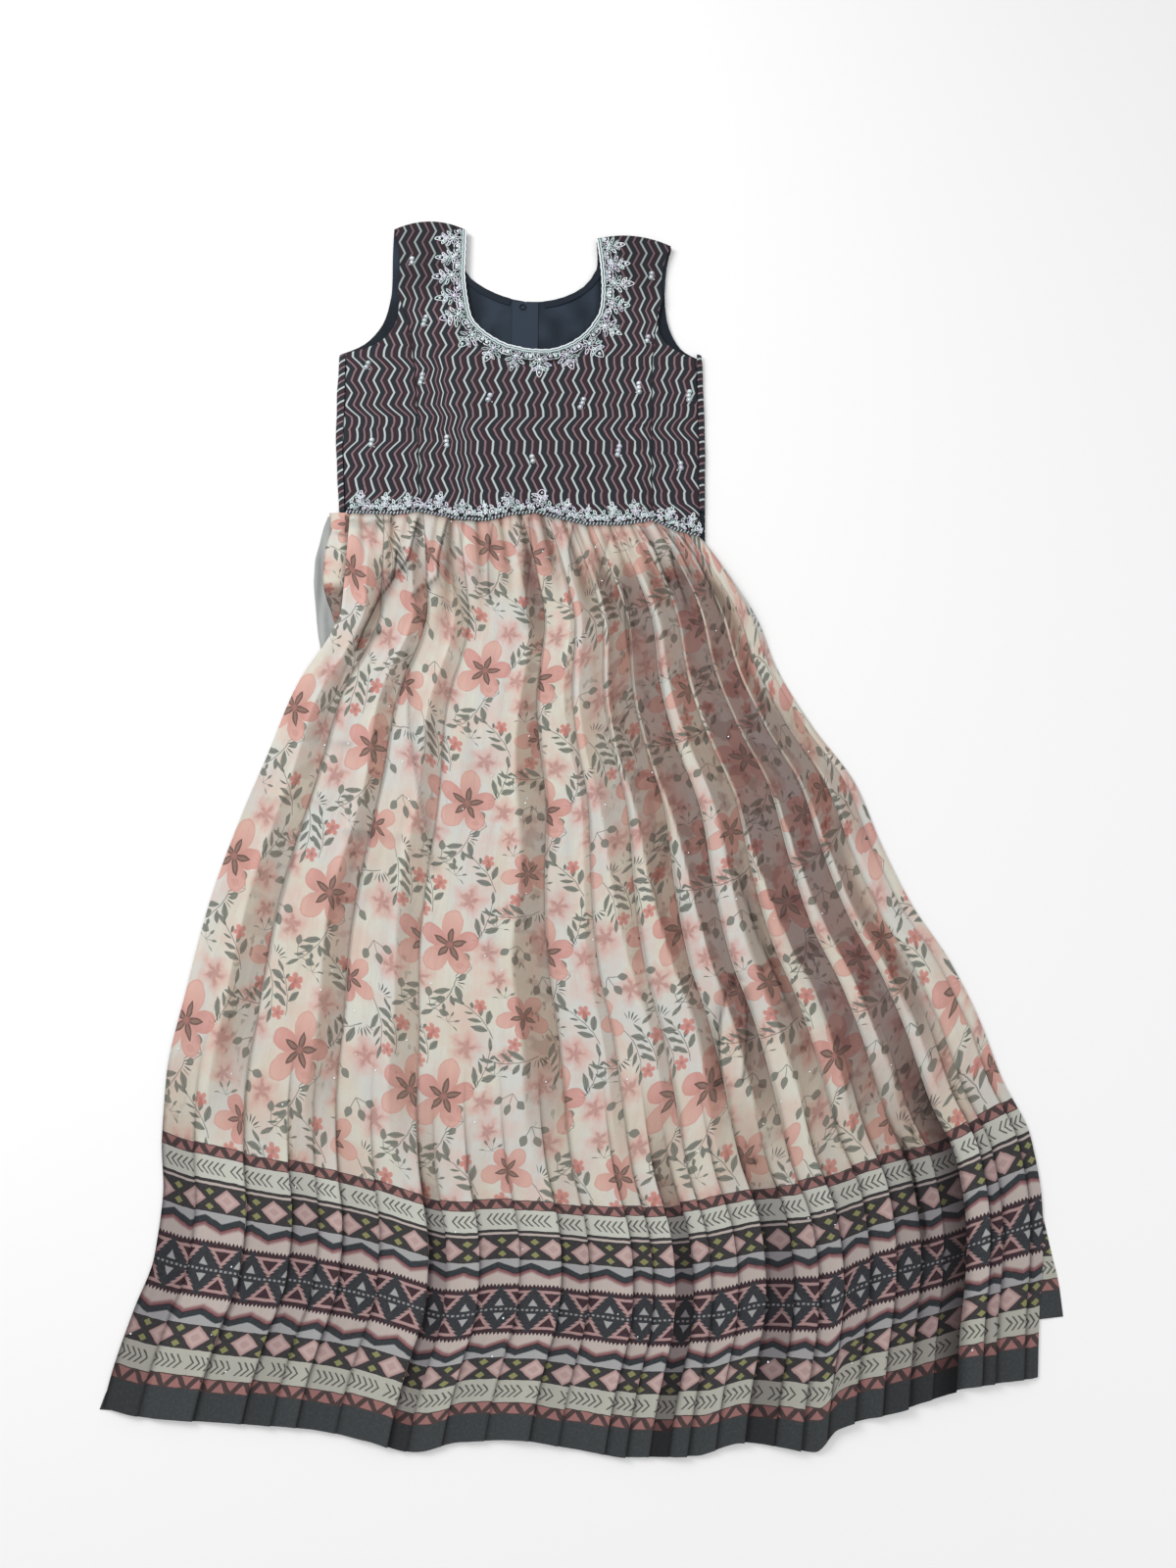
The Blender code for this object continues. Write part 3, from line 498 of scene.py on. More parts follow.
class Cloth:
    """A cloth material: its node tree, and the steps that paint one colour over another."""

    def __init__(self, name, roughness, specular, sheen=0.0):
        self.material = bpy.data.materials.new(name)
        self.material.use_nodes = True
        self.tree = self.material.node_tree
        self.shader = self.tree.nodes["Principled BSDF"]
        self.shader.inputs["Roughness"].default_value = roughness
        self.shader.inputs["Specular IOR Level"].default_value = specular
        self.shader.inputs["Sheen Weight"].default_value = sheen
        self.shader.inputs["Sheen Roughness"].default_value = 0.5

    def node(self, kind, **settings):
        node = self.tree.nodes.new(kind)
        for key, value in settings.items():
            setattr(node, key, value)
        return node

    def wire(self, socket):
        return Wire(self.tree, socket)

    def link(self, value, socket):
        if isinstance(value, Wire):
            self.tree.links.new(value.socket, socket)
        elif hasattr(value, "is_output"):
            self.tree.links.new(value, socket)
        elif hasattr(value, "__len__") and len(value) == 3 and socket.type == "RGBA":
            socket.default_value = (*value, 1.0)
        else:
            socket.default_value = value

    def vector(self, kind, *values):
        """A step with vectors, each a socket or plain numbers."""
        node = self.node("ShaderNodeVectorMath", operation=kind)
        for socket, value in zip(node.inputs, values):
            if isinstance(value, tuple):
                socket.default_value = value
            else:
                self.tree.links.new(value, socket)
        return node.outputs[0]

    def cloth_place(self):
        """Cloth coordinates in millimetres, as a vector socket."""
        place = self.node("ShaderNodeUVMap", uv_map="cloth")
        return self.vector("MULTIPLY", place.outputs["UV"], (1.0 / MM, 1.0 / MM, 1.0 / MM))

    def split(self, vector):
        parts = self.node("ShaderNodeSeparateXYZ")
        self.tree.links.new(vector, parts.inputs[0])
        return self.wire(parts.outputs[0]), self.wire(parts.outputs[1])

    def value(self, name):
        return self.wire(self.node("ShaderNodeAttribute", attribute_name=name).outputs["Fac"])

    def noise_node(self, vector, scale, detail, roughness=0.5):
        node = self.node("ShaderNodeTexNoise")
        self.tree.links.new(vector, node.inputs["Vector"])
        node.inputs["Scale"].default_value = 1.0 / scale
        node.inputs["Detail"].default_value = detail
        node.inputs["Roughness"].default_value = roughness
        return node

    def noise(self, vector, scale, detail, roughness=0.5, stretch=None):
        """Noise from 0 to 1, with its scale in millimetres."""
        if stretch:
            vector = self.vector("MULTIPLY", vector, (*stretch, 1.0))
        return self.wire(self.noise_node(vector, scale, detail, roughness).outputs["Fac"])

    def stir(self, vector, scale, amount):
        """The place moved about by soft noise, for edges that look painted by hand."""
        drift = self.noise_node(vector, scale, 1.0).outputs["Color"]
        centred = self.vector("SUBTRACT", drift, (0.5, 0.5, 0.5))
        return self.vector("MULTIPLY_ADD", centred, (amount, amount, 0.0), vector)

    def paint(self, under, over, mask, blend="MIX"):
        mix = self.node("ShaderNodeMix", data_type="RGBA", blend_type=blend)
        mix.clamp_factor = True
        self.link(mask, mix.inputs["Factor"])
        self.link(under, mix.inputs[6])
        self.link(over, mix.inputs[7])
        return mix.outputs[2]

    def local(self, place, motif, size):
        """Coordinates round a motif's centre, turned and in its own size, in every repeat."""
        wide, tall = PRINT_REPEAT
        moved = self.vector("MULTIPLY_ADD", place, (1.0 / wide, 1.0 / tall, 0.0),
                            (0.5 - motif.x, 0.5 - motif.y, 0.0))
        mapping = self.node("ShaderNodeMapping", vector_type="TEXTURE")
        self.tree.links.new(self.vector("FRACTION", moved), mapping.inputs["Vector"])
        mapping.inputs["Location"].default_value = (0.5, 0.5, 0.0)
        mapping.inputs["Rotation"].default_value = (0.0, 0.0, math.radians(motif.turn))
        mapping.inputs["Scale"].default_value = (size / wide, size / tall, 1.0)
        return mapping.outputs[0]

    def finish(self, colour, height, strength):
        """Sets the colour and a bump from a height in millimetres."""
        self.link(colour, self.shader.inputs["Base Color"])
        bump = self.node("ShaderNodeBump")
        bump.inputs["Strength"].default_value = strength
        bump.inputs["Distance"].default_value = MM
        self.link(height, bump.inputs["Height"])
        self.tree.links.new(bump.outputs[0], self.shader.inputs["Normal"])
        return self.material


# Colours, as they show on screen
CREAM = srgb(212, 211, 198)
WARM_CREAM = srgb(208, 199, 184)
BLUSH = srgb(214, 184, 173)
PEARL = srgb(204, 205, 201)
CORAL = srgb(210, 156, 147)
CORAL_DEEP = srgb(196, 137, 128)
PETAL_PEACH = srgb(214, 172, 158)
CORAL_RIM = srgb(192, 120, 112)
FLOWER_HEART = srgb(98, 80, 73)
HEART_PALE = srgb(178, 142, 128)
LEAF = srgb(116, 120, 111)
LEAF_DEEP = srgb(78, 84, 82)
STAR_CORAL = srgb(196, 118, 109)
DUSK = srgb(168, 118, 112)
BAND_BEIGE = srgb(196, 184, 174)
BAND_TAUPE = srgb(166, 151, 151)
VEIL = srgb(200, 186, 176)
GHOST_RED = srgb(158, 92, 90)
SHADOW = srgb(74, 60, 60)
BORDER_SHADE = srgb(166, 161, 166)
BORDER_DARK = srgb(59, 57, 57)
BORDER_BROWN = srgb(77, 63, 62)
BORDER_MAROON = srgb(63, 45, 50)
BORDER_ROSE = srgb(138, 96, 98)
BORDER_CORAL = srgb(162, 116, 112)
BORDER_PINK = srgb(174, 142, 140)
BORDER_LIGHT_PINK = srgb(198, 175, 169)
BORDER_GREY = srgb(166, 165, 166)
BORDER_TEAL = srgb(52, 58, 62)
BORDER_IVORY = srgb(196, 197, 187)
BORDER_IVORY_LOW = srgb(180, 179, 168)
BORDER_CREAM = srgb(190, 177, 171)
CHARTREUSE = srgb(150, 150, 100)
HEM_CHARCOAL = srgb(61, 65, 67)
ZIG_GROUND = srgb(42, 45, 51)
ZIG_MAROON = srgb(54, 43, 49)
ZIG_WHITE = srgb(190, 200, 200)
ZIG_MAUVE = srgb(148, 119, 124)
ZIG_SHADOW = (0.01, 0.01, 0.012)
LINING_BLACK = srgb(40, 50, 62)
FACING_BLACK = srgb(25, 32, 42)
THREAD_BLACK = srgb(9, 10, 14)
LINING_PALE = srgb(150, 153, 151)
SILVER = srgb(240, 247, 252)
SILVER_DARK = srgb(58, 64, 72)
SILVER_GREEN = srgb(202, 230, 226)
SILVER_LILAC = srgb(224, 216, 238)


# The flower print

def polar(cloth, spot, sectors):
    """Distance from a motif's centre, how far off its sector's middle a point lies, and its sector."""
    x, y = cloth.split(spot)
    reach = (x * x + y * y).math("SQRT")
    sector = y.math("ARCTAN2", x).times_plus(sectors / (2.0 * math.pi), 0.5)
    return reach, abs(sector.fract() - 0.5), sector


def paint_flower(cloth, colour, place, motif):
    """Open flower with five broad petals, each its own length and tint, and a dark star of stamens."""
    reach, off, sector = polar(cloth, cloth.local(place, motif, motif.size), 5.0)
    petal = sector.math("FLOOR").times_plus(2.2, motif.size * 0.37).math("SINE")
    longer = off.times_plus(-0.28, 0.14) * petal
    inside = (off * 2.0).math("POWER", 2.0).times_plus(-0.54, longer + 1.0) - reach
    tone = cloth.paint(CORAL_DEEP, CORAL, reach.times_plus(1.1, off * -1.1))
    tone = cloth.paint(tone, PETAL_PEACH, (petal + 0.25).edge(0.5) * reach * 0.75)
    tone = cloth.paint(tone, CORAL_RIM, (0.040 - inside).edge(0.05) * 0.55)
    colour = cloth.paint(colour, tone, inside.edge(0.05) * 0.88)
    along = reach * 1.80
    star = (along * (1.0 - along)).times_plus(0.44, off * reach * -1.35)
    colour = cloth.paint(colour, FLOWER_HEART, star.edge(0.02) * 0.94)
    colour = cloth.paint(colour, HEART_PALE, (star - 0.055).edge(0.02) * 0.40)
    return cloth.paint(colour, DUSK, (0.10 - reach).edge(0.06) * 0.8)


def paint_blossom(cloth, colour, place, motif):
    """Blurred watercolour blossom with a dusty star at its heart."""
    reach, off, _ = polar(cloth, cloth.local(place, motif, motif.size), 5.0)
    wash = (0.98 - off * 0.80 - reach).edge(0.50)
    colour = cloth.paint(colour, CORAL, wash * BLOSSOM_INK)
    heart = (0.60 - off * 0.90 - reach).edge(0.30)
    return cloth.paint(colour, DUSK, heart * (BLOSSOM_INK * 1.15))


def paint_star(cloth, colour, place, motif):
    """Small flower with five blunt petals."""
    reach, off, _ = polar(cloth, cloth.local(place, motif, motif.size), 5.0)
    inside = (off * 2.0).math("POWER", 2.4).times_plus(-0.50, 0.98) - reach
    colour = cloth.paint(colour, STAR_CORAL, inside.edge(0.22) * 0.80)
    return cloth.paint(colour, DUSK, (0.24 - reach).edge(0.2) * 0.8)


def paint_branch(cloth, colour, place, motif, bend):
    """Leafy branch: almond leaves in turn on either side of a bent stem, larger towards its foot."""
    x, y = cloth.split(cloth.local(place, motif, motif.size / BRANCH_LEAVES))
    y = y + (x * x) * (bend / BRANCH_LEAVES)
    side = abs(y)
    along = x - side * 0.95 + y.above(0.0) * 0.5
    reach = along.math("FLOOR").times_plus(-0.30, 1.22)
    off = along.fract() - 0.5
    part = (side + off * 0.50 - 0.10) / reach
    leaf = (part * (1.0 - part) * reach).times_plus(1.42, abs(off) * -1.0)
    here = along.above(0.0) * along.below(BRANCH_LEAVES)
    tip = (x - (BRANCH_LEAVES + 0.20)) * 0.86
    end = (tip * (1.0 - tip)).times_plus(1.05, side * -1.0)
    ink = ((leaf - 0.03).edge(0.07) * here).math("MAXIMUM", (end - 0.02).edge(0.07))
    colour = cloth.paint(colour, LEAF, ink * 0.92)
    vein = (0.030 - abs(off)).edge(0.05) * ink
    stem = (0.045 - side).edge(0.05) * x.above(-0.7) * x.below(BRANCH_LEAVES + 0.6)
    return cloth.paint(colour, LEAF_DEEP, stem.math("MAXIMUM", vein) * 0.70)


def paint_twig(cloth, colour, place, motif, leaves, spread, slim):
    """Twig with a few leaves on thin stalks, spread like a hand."""
    reach, off, sector = polar(cloth, cloth.local(place, motif, motif.size), leaves * 360.0 / spread)
    here = sector.above(-0.5 * leaves + 0.5) * sector.below(0.5 * leaves + 0.5)
    part = reach.times_plus(1.9, -0.85)
    leaf = (part * (1.0 - part)).times_plus(1.15 * slim, off * reach * -2.6 * spread / 150.0)
    stalk = (0.020 - off * reach).edge(0.03) * reach.below(0.5)
    ink = (leaf - 0.02).edge(0.06).math("MAXIMUM", stalk) * here
    return cloth.paint(colour, LEAF, ink * 0.9)


def paint_fern(cloth, colour, place, motif):
    """Small fan of dark strokes."""
    reach, off, sector = polar(cloth, cloth.local(place, motif, motif.size), 17.0)
    here = sector.above(-1.5) * sector.below(2.5)
    part = reach.times_plus(1.6, -0.55)
    stroke = (part * (1.0 - part)).times_plus(0.42, off * reach * -0.75)
    return cloth.paint(colour, LEAF_DEEP, (stroke - 0.005).edge(0.03) * here * 0.9)


BLOSSOM_INK = 0.52
BRANCH_LEAVES = 3.0
# Motifs of one repeat: centre as shares of it, turn in degrees, and size in millimetres
Motif = namedtuple("Motif", "x y turn size")
BIG_FLOWERS = (Motif(0.06, 0.10, 14, 32), Motif(0.56, 0.64, 50, 25))
BLOSSOMS = (
    Motif(0.33, 0.07, 10, 17), Motif(0.72, 0.20, 40, 19), Motif(0.17, 0.42, 0, 18),
    Motif(0.85, 0.83, 25, 18), Motif(0.40, 0.88, 60, 14), Motif(0.44, 0.36, 20, 12),
)
STARS = (Motif(0.50, 0.45, 5, 7.5), Motif(0.95, 0.50, 30, 8.0), Motif(0.27, 0.70, 50, 7.0),
         Motif(0.86, 0.29, 12, 7.0))
BRANCHES = (
    Motif(0.265, 0.17, 58, 31), Motif(0.62, 0.36, 205, 33), Motif(0.33, 0.53, 118, 31),
    Motif(0.76, 0.53, 300, 30), Motif(0.92, 0.33, 92, 28), Motif(0.10, 0.84, 250, 32),
)
FERNS = (Motif(0.30, 0.13, 150, 15), Motif(0.66, 0.40, 300, 15), Motif(0.78, 0.60, 60, 14),
         Motif(0.08, 0.86, 10, 15))
TWIGS = (
    Motif(0.53, 0.13, 262, 21), Motif(0.70, 0.93, 300, 22), Motif(0.93, 0.66, 40, 20),
    Motif(0.22, 0.95, 170, 18),
)
SPRIGS = (Motif(0.38, 0.24, 95, 14), Motif(0.44, 0.76, 80, 13), Motif(0.05, 0.58, 60, 13))


def paint_flower_print(cloth, place):
    """Cream ground with washes, blossoms, branches, twigs and open flowers in a straight repeat."""
    wash = cloth.noise(place, 55.0, 2.0)
    colour = cloth.paint(CREAM, WARM_CREAM, (wash - 0.52).edge(0.25))
    cool = cloth.noise(place, 78.0, 2.0, 0.5, (1.4, 0.7))
    colour = cloth.paint(colour, PEARL, (cool - 0.50).edge(0.12) * 0.8)
    blot = cloth.noise(place, 34.0, 3.0, 0.6)
    colour = cloth.paint(colour, BLUSH, (blot - 0.54).edge(0.20) * 0.55)
    ragged = cloth.stir(place, 7.0, 9.0)
    place = cloth.stir(place, 8.0, 2.4)
    for motif in BLOSSOMS:
        colour = paint_blossom(cloth, colour, ragged, motif)
    for index, motif in enumerate(BRANCHES):
        colour = paint_branch(cloth, colour, place, motif, 0.30 if index % 2 else -0.26)
    for motif in FERNS:
        colour = paint_fern(cloth, colour, place, motif)
    for motif in TWIGS:
        colour = paint_twig(cloth, colour, place, motif, 3.0, 160.0, 1.9)
    for motif in SPRIGS:
        colour = paint_twig(cloth, colour, place, motif, 4.0, 200.0, 1.3)
    for motif in STARS:
        colour = paint_star(cloth, colour, place, motif)
    for motif in BIG_FLOWERS:
        colour = paint_flower(cloth, colour, place, motif)
    return colour


# The border: bands from the hem upwards, with the height in millimetres where each one ends
HEM_END = 23.0
LOW_TRIANGLES_END = 33.5
LOW_CHEVRONS_END = 53.0
LOW_DIAMONDS_END = 72.5
LOW_WAVES_END = 96.5
MAIN_END = 135.5
TOP_WAVES_END = 160.5
TOP_DIAMONDS_END = 181.5
LINES_END = 187.0
TOP_CHEVRONS_END = 206.0
BORDER_END = 215.5


def saw(wire, period):
    """Distance from the nearest multiple of the period, in the wire's own unit."""
    return abs((wire * (1.0 / period)).times_plus(1.0, 0.5).fract() - 0.5) * period


def paint_triangles(cloth, colour, u, v, low, high):
    """Row of coral triangles, in turn upright and hanging, on brown."""
    middle = (low + high) / 2.0
    tall = (high - low) * 0.42
    rise = v - middle
    here = v.below(high)
    upright = (tall - rise) * 0.85 - saw(u, TRIANGLE_PITCH) - 1.3
    hanging = (tall + rise) * 0.85 - saw(u + TRIANGLE_PITCH / 2.0, TRIANGLE_PITCH) - 1.3
    inside = upright.math("MAXIMUM", hanging).edge(0.9) * (tall - abs(rise)).edge(0.6)
    colour = cloth.paint(colour, BORDER_BROWN, here)
    return cloth.paint(colour, BORDER_CORAL, inside * here * 0.9)


def paint_chevrons(cloth, colour, u, v, low, high, direction):
    """Ivory band with groups of dark arrow heads."""
    middle = (low + high) / 2.0
    colour = cloth.paint(colour, BORDER_IVORY if direction > 0.0 else BORDER_IVORY_LOW, v.below(high))
    off = abs(v - middle)
    slide = u - off * direction
    pitch = BORDER_PITCH / 6.0
    stroke = (1.0 - saw(slide, pitch)).edge(0.6)
    group = (saw(slide, BORDER_PITCH) - pitch * 0.5).above(0.0)
    inside = (5.4 - off).edge(0.5) * group * stroke
    return cloth.paint(colour, BORDER_DARK, inside * v.below(high) * 0.85)


def paint_diamonds(cloth, colour, u, v, low, high):
    """Dark band with pink diamonds and pairs of small chartreuse ones."""
    middle = (low + high) / 2.0
    here = v.below(high)
    off = abs(v - middle)
    across = saw(u, BORDER_PITCH)
    colour = cloth.paint(colour, BORDER_DARK, here)
    size = 1.0 - across / 13.0 - off / 9.4
    colour = cloth.paint(colour, BORDER_PINK, size.edge(0.08) * here)
    colour = cloth.paint(colour, BORDER_LIGHT_PINK, (size - 0.22).edge(0.3) * here * 0.8)
    colour = cloth.paint(colour, BORDER_PINK, (size - 0.62).edge(0.15) * here * 0.6)
    beside = BORDER_PITCH / 2.0 - across
    small = 1.0 - beside / 4.3 - abs(off - 5.9) / 2.9
    return cloth.paint(colour, CHARTREUSE, small.edge(0.25) * here * 0.85)


def paint_waves(cloth, colour, u, v, low, high, upward):
    """Light grey, dark zigzag, rose zigzag and cream, from the outer side to the main band."""
    here = v.below(high)
    height = (v - low) if upward else (high - v)
    level = height + saw(u + 4.0, BORDER_PITCH) * 0.34
    colour = cloth.paint(colour, BORDER_GREY, here)
    colour = cloth.paint(colour, BORDER_TEAL, (level - 8.2).edge(0.9) * here)
    colour = cloth.paint(colour, BORDER_MAROON, (level - 12.8).edge(1.2) * here)
    colour = cloth.paint(colour, BORDER_ROSE, (level - 14.0).edge(1.0) * here)
    colour = cloth.paint(colour, BORDER_CREAM, (level - 16.8).edge(2.6) * here)
    serration = (height - (high - low) + 0.9 + saw(u, 3.6) * 1.5).edge(0.5)
    return cloth.paint(colour, BORDER_MAROON, serration * here)


def paint_main(cloth, colour, u, v, low, high):
    """Dark band with notched triangles, small white triangles and a dotted middle line."""
    middle = (low + high) / 2.0
    half = (high - low) / 2.0
    here = v.below(high)
    off = abs(v - middle)
    notch = (off * (1.0 / 3.5)).fract() * 2.6
    across = saw(u, BORDER_PITCH)
    beside = BORDER_PITCH / 2.0 - across
    colour = cloth.paint(colour, BORDER_MAROON, here)
    halo = (half + 1.0 - off * 0.85 - beside * 1.15).edge(2.0)
    colour = cloth.paint(colour, BORDER_TEAL, halo * here * 0.85)
    slope = (off - 3.6) * 0.92 - across
    reach = (half - 2.2 - off).edge(0.6) * here
    colour = cloth.paint(colour, BORDER_PINK, (slope + notch).edge(0.6) * reach)
    hollow = (slope - 2.6).edge(0.6) * (half - 4.6 - off).edge(0.6) * here
    colour = cloth.paint(colour, BORDER_MAROON, hollow)
    white = (9.8 - off) * 0.70 - beside
    colour = cloth.paint(colour, BORDER_GREY, white.edge(0.8) * (off - 3.4).edge(0.5) * here)
    dots = (0.80 - off).edge(0.5) * (1.2 - saw(u, 4.6)).edge(0.6)
    return cloth.paint(colour, BORDER_GREY, dots * here * 0.8)


def paint_border(cloth, colour, u, v):
    colour = paint_triangles(cloth, colour, u, v, TOP_CHEVRONS_END, BORDER_END)
    colour = paint_chevrons(cloth, colour, u, v, LINES_END, TOP_CHEVRONS_END, 1.0)
    colour = cloth.paint(colour, BORDER_DARK, v.below(LINES_END))
    colour = cloth.paint(colour, BORDER_CREAM, (1.0 - abs(v - (LINES_END - 3.6))).edge(0.5))
    colour = paint_diamonds(cloth, colour, u, v, TOP_WAVES_END, TOP_DIAMONDS_END)
    colour = paint_waves(cloth, colour, u, v, MAIN_END, TOP_WAVES_END, False)
    colour = paint_main(cloth, colour, u, v, LOW_WAVES_END, MAIN_END)
    colour = paint_waves(cloth, colour, u, v, LOW_DIAMONDS_END, LOW_WAVES_END, True)
    colour = paint_diamonds(cloth, colour, u, v, LOW_CHEVRONS_END, LOW_DIAMONDS_END)
    colour = paint_chevrons(cloth, colour, u, v, LOW_TRIANGLES_END, LOW_CHEVRONS_END, -1.0)
    colour = paint_triangles(cloth, colour, u, v, HEM_END, LOW_TRIANGLES_END)
    return cloth.paint(colour, HEM_CHARCOAL, v.below(HEM_END))


def weave(u, v, pitch):
    """Fine checked relief of a plain weave."""
    return (u * (2.0 * math.pi / pitch)).math("SINE") * (v * (2.0 * math.pi / pitch)).math("SINE")


def paint_layers_and_shade(cloth, colour, place, v):
    """Layers under the thin cloth and painted shade of its pleats and folds: taupe bands, with blurred red
    and green blots of the layers' own print.
    """
    # Painted shade: the under value holds the tone of the layers beneath along with painted shade of the
    # pleats, folds, facets and gathers
    under = cloth.value("under")
    tint = cloth.paint(BAND_BEIGE, BAND_TAUPE, under.times_plus(2.2, -0.9))
    flowered = (v - BORDER_END).edge(4.0)
    tint = cloth.paint(BORDER_SHADE, tint, flowered)
    colour = cloth.paint(colour, VEIL, under * flowered * 0.34)
    colour = cloth.paint(colour, tint, (under * 1.6).math("MINIMUM", 1.0), "MULTIPLY")
    ghost = cloth.noise(place, 21.0, 2.0)
    blots = (ghost - 0.57).edge(0.07) * (under - 0.42).edge(0.3) * flowered
    colour = cloth.paint(colour, GHOST_RED, blots * 0.32, "MULTIPLY")
    spots = cloth.noise(place, 6.5, 1.0, 0.4, (1.0, 0.55))
    shade = (spots - 0.66).edge(0.04) * (under - 0.3).edge(0.3) * flowered
    return cloth.paint(colour, LEAF, shade * 0.45, "MULTIPLY")


def skirt_material():
    cloth = Cloth("skirt_print_cloth", roughness=0.75, sheen=0.05, specular=0.12)
    place = cloth.cloth_place()
    flowers = paint_flower_print(cloth, place)
    u, v = cloth.split(place)
    soft = cloth.noise(place, 9.0, 2.0)
    wobble = soft.times_plus(2.2, -1.1)
    colour = paint_border(cloth, flowers, u + wobble, v + wobble * 0.7)
    grain = cloth.noise(place, 2.6, 3.0, 0.7)
    colour = cloth.paint(colour, BORDER_GREY, (grain - 0.45) * 0.22)
    colour = paint_layers_and_shade(cloth, colour, place, v)
    colour = cloth.paint(colour, SHADOW, cloth.value("shadow") * 0.9, "MULTIPLY")
    # Painted highlight along the fold edges of the strips
    colour = cloth.paint(colour, CREAM, cloth.value("ridge") * 0.8)
    creases = cloth.noise(place, 14.0, 3.0, 0.55, (2.6, 0.5))
    return cloth.finish(colour, weave(u, v, 0.9) * 0.03 + creases * 1.2 + soft * 0.12, 0.7)


def zigzag_material():
    """Dark cloth with zigzag stripes in turn crisp and pale, and soft and mauve."""
    cloth = Cloth("bodice_print_cloth", roughness=0.8, sheen=0.05, specular=0.12)
    place = cloth.cloth_place()
    u, v = cloth.split(place)
    drift = cloth.noise(place, 60.0, 1.0).times_plus(2.4, -1.2)
    grain = cloth.noise(place, 3.0, 2.0).times_plus(1.0, -0.5)
    sway = saw(v, ZIGZAG_PERIOD) * 0.46
    slide = u + sway + drift * 0.5 + grain * 0.35
    pale = saw(slide, STRIPE_PITCH)
    mauve = STRIPE_PITCH / 2.0 - pale
    part = (slide * (1.0 / STRIPE_PITCH)).fract()
    maroon = (0.25 - abs(part - 0.75)).edge(0.08)
    colour = cloth.paint(ZIG_GROUND, ZIG_MAROON, maroon)
    colour = cloth.paint(colour, ZIG_MAUVE, (1.05 - mauve + grain * 0.8).edge(0.9) * 0.85)
    colour = cloth.paint(colour, ZIG_WHITE, (1.15 - pale).edge(0.7) * 0.95)
    colour = cloth.paint(colour, ZIG_SHADOW, cloth.value("under"))
    creases = cloth.noise(place, 16.0, 3.0, 0.55, (1.6, 0.6))
    return cloth.finish(colour, weave(u, v, 0.8) * 0.04 + creases, 0.7)


def plain_material(name, tone, roughness, wave, stretch=(1.0, 1.0), sheen=0.0, specular=0.12):
    """Plain cloth with a fine weave, soft creases, slight changes of tone and painted shade."""
    cloth = Cloth(name, roughness=roughness, sheen=sheen, specular=specular)
    place = cloth.cloth_place()
    u, v = cloth.split(place)
    blot = cloth.noise(place, 30.0, 3.0, 0.6)
    lighter = tuple(min(1.0, level * 1.45 + 0.008) for level in tone)
    colour = cloth.paint(tone, lighter, blot)
    # Painted shade: the under value darkens the cloth towards black
    colour = cloth.paint(colour, (0.0, 0.0, 0.0), cloth.value("under"))
    creases = cloth.noise(place, 18.0, 3.0, 0.55, stretch)
    return cloth.finish(colour, weave(u, v, 0.7) * 0.02 + creases * wave, 0.7)


def bead_material():
    """Silver beads and cord, each a little lighter or darker, with a faint green or lilac tint."""
    cloth = Cloth("silver_work", roughness=0.35, specular=0.7)
    tint = cloth.value("tint")
    place = cloth.node("ShaderNodeTexCoord").outputs["Object"]
    grain = cloth.noise(place, MM * 0.8, 2.0)
    shine = cloth.paint(SILVER, SILVER_GREEN, (0.34 - tint).edge(0.1) * 0.7)
    shine = cloth.paint(shine, SILVER_LILAC, (tint - 0.74).edge(0.1) * 0.7)
    colour = cloth.paint(SILVER_DARK, shine, cloth.value("sparkle"))
    colour = cloth.paint(colour, SILVER_DARK, (grain - 0.60).edge(0.12) * 0.4)
    return cloth.finish(colour, grain * 0.2, 0.5)


# Skirt

class SkirtPlan:
    """Plan of a skirt panel from its side edges, its hem and the waist seam."""

    def __init__(self, left_edge, right_edge, hem):
        self.left_edge = left_edge
        self.right_edge = right_edge
        self.hem = hem
        self.left_top = left_edge[-1].x
        self.right_top = right_edge[-1].x

    def side_x(self, edge, top_x, hem_end, lift, down):
        """Where a side edge runs at shares of the way down."""
        top = waist_y(top_x)
        return table_curve(edge, top + (hem_end - top) * down + lift * lift_profile(down))

    def place(self, share, down):
        """Plan points for grids of shares of the width and of the way down."""
        left = self.side_x(self.left_edge, self.left_top, self.hem[0].y, SIDE_LIFT_LEFT, down)
        right = self.side_x(self.right_edge, self.right_top, self.hem[-1].y, SIDE_LIFT_RIGHT, down)
        top = waist_y(self.left_top + (self.right_top - self.left_top) * share)
        sideways = 2.0 * share - 1.0
        lift = np.where(sideways < 0.0, SIDE_LIFT_LEFT, SIDE_LIFT_RIGHT)
        y = top + (table_curve(self.hem, share) - top) * down
        y = y + lift * sideways * sideways * lift_profile(down)
        return left + (right - left) * share, y


def lift_profile(down):
    """Share of the sides' rise at shares of the way down: 1 at its largest, 0 at the waist and the hem."""
    return 6.75 * down * down * (1.0 - down)


def length_from_hem(x, y):
    """Cloth length from each point of a grid down its column to the hem."""
    steps = np.hypot(np.diff(x, axis=0), np.diff(y, axis=0))
    below = np.concatenate([np.zeros((1, x.shape[1])), np.cumsum(steps[::-1], axis=0)])
    return below[::-1]


def skirt_front_columns():
    """Shares of the width for the columns, with the strip and the facet each one belongs to."""
    starts = sorted({strip.start for strip in STRIPS} | {facet.start for facet in FACETS}) + [1.0]
    columns = []
    for start, stop in zip(starts[:-1], starts[1:]):
        count = max(4, int(round((stop - start) * HEM_WIDTH / SKIRT_COLUMN)))
        last = 1.0 if stop == 1.0 else stop - RISER
        columns.extend(np.linspace(start, last, count))
    columns = np.array(columns)
    strips = np.searchsorted([strip.start for strip in STRIPS], columns, side="right") - 1
    facets = np.searchsorted([facet.start for facet in FACETS], columns, side="right") - 1
    return columns, strips, facets


def column_values(table, key, index):
    return np.array([getattr(row, key) for row in table])[index]


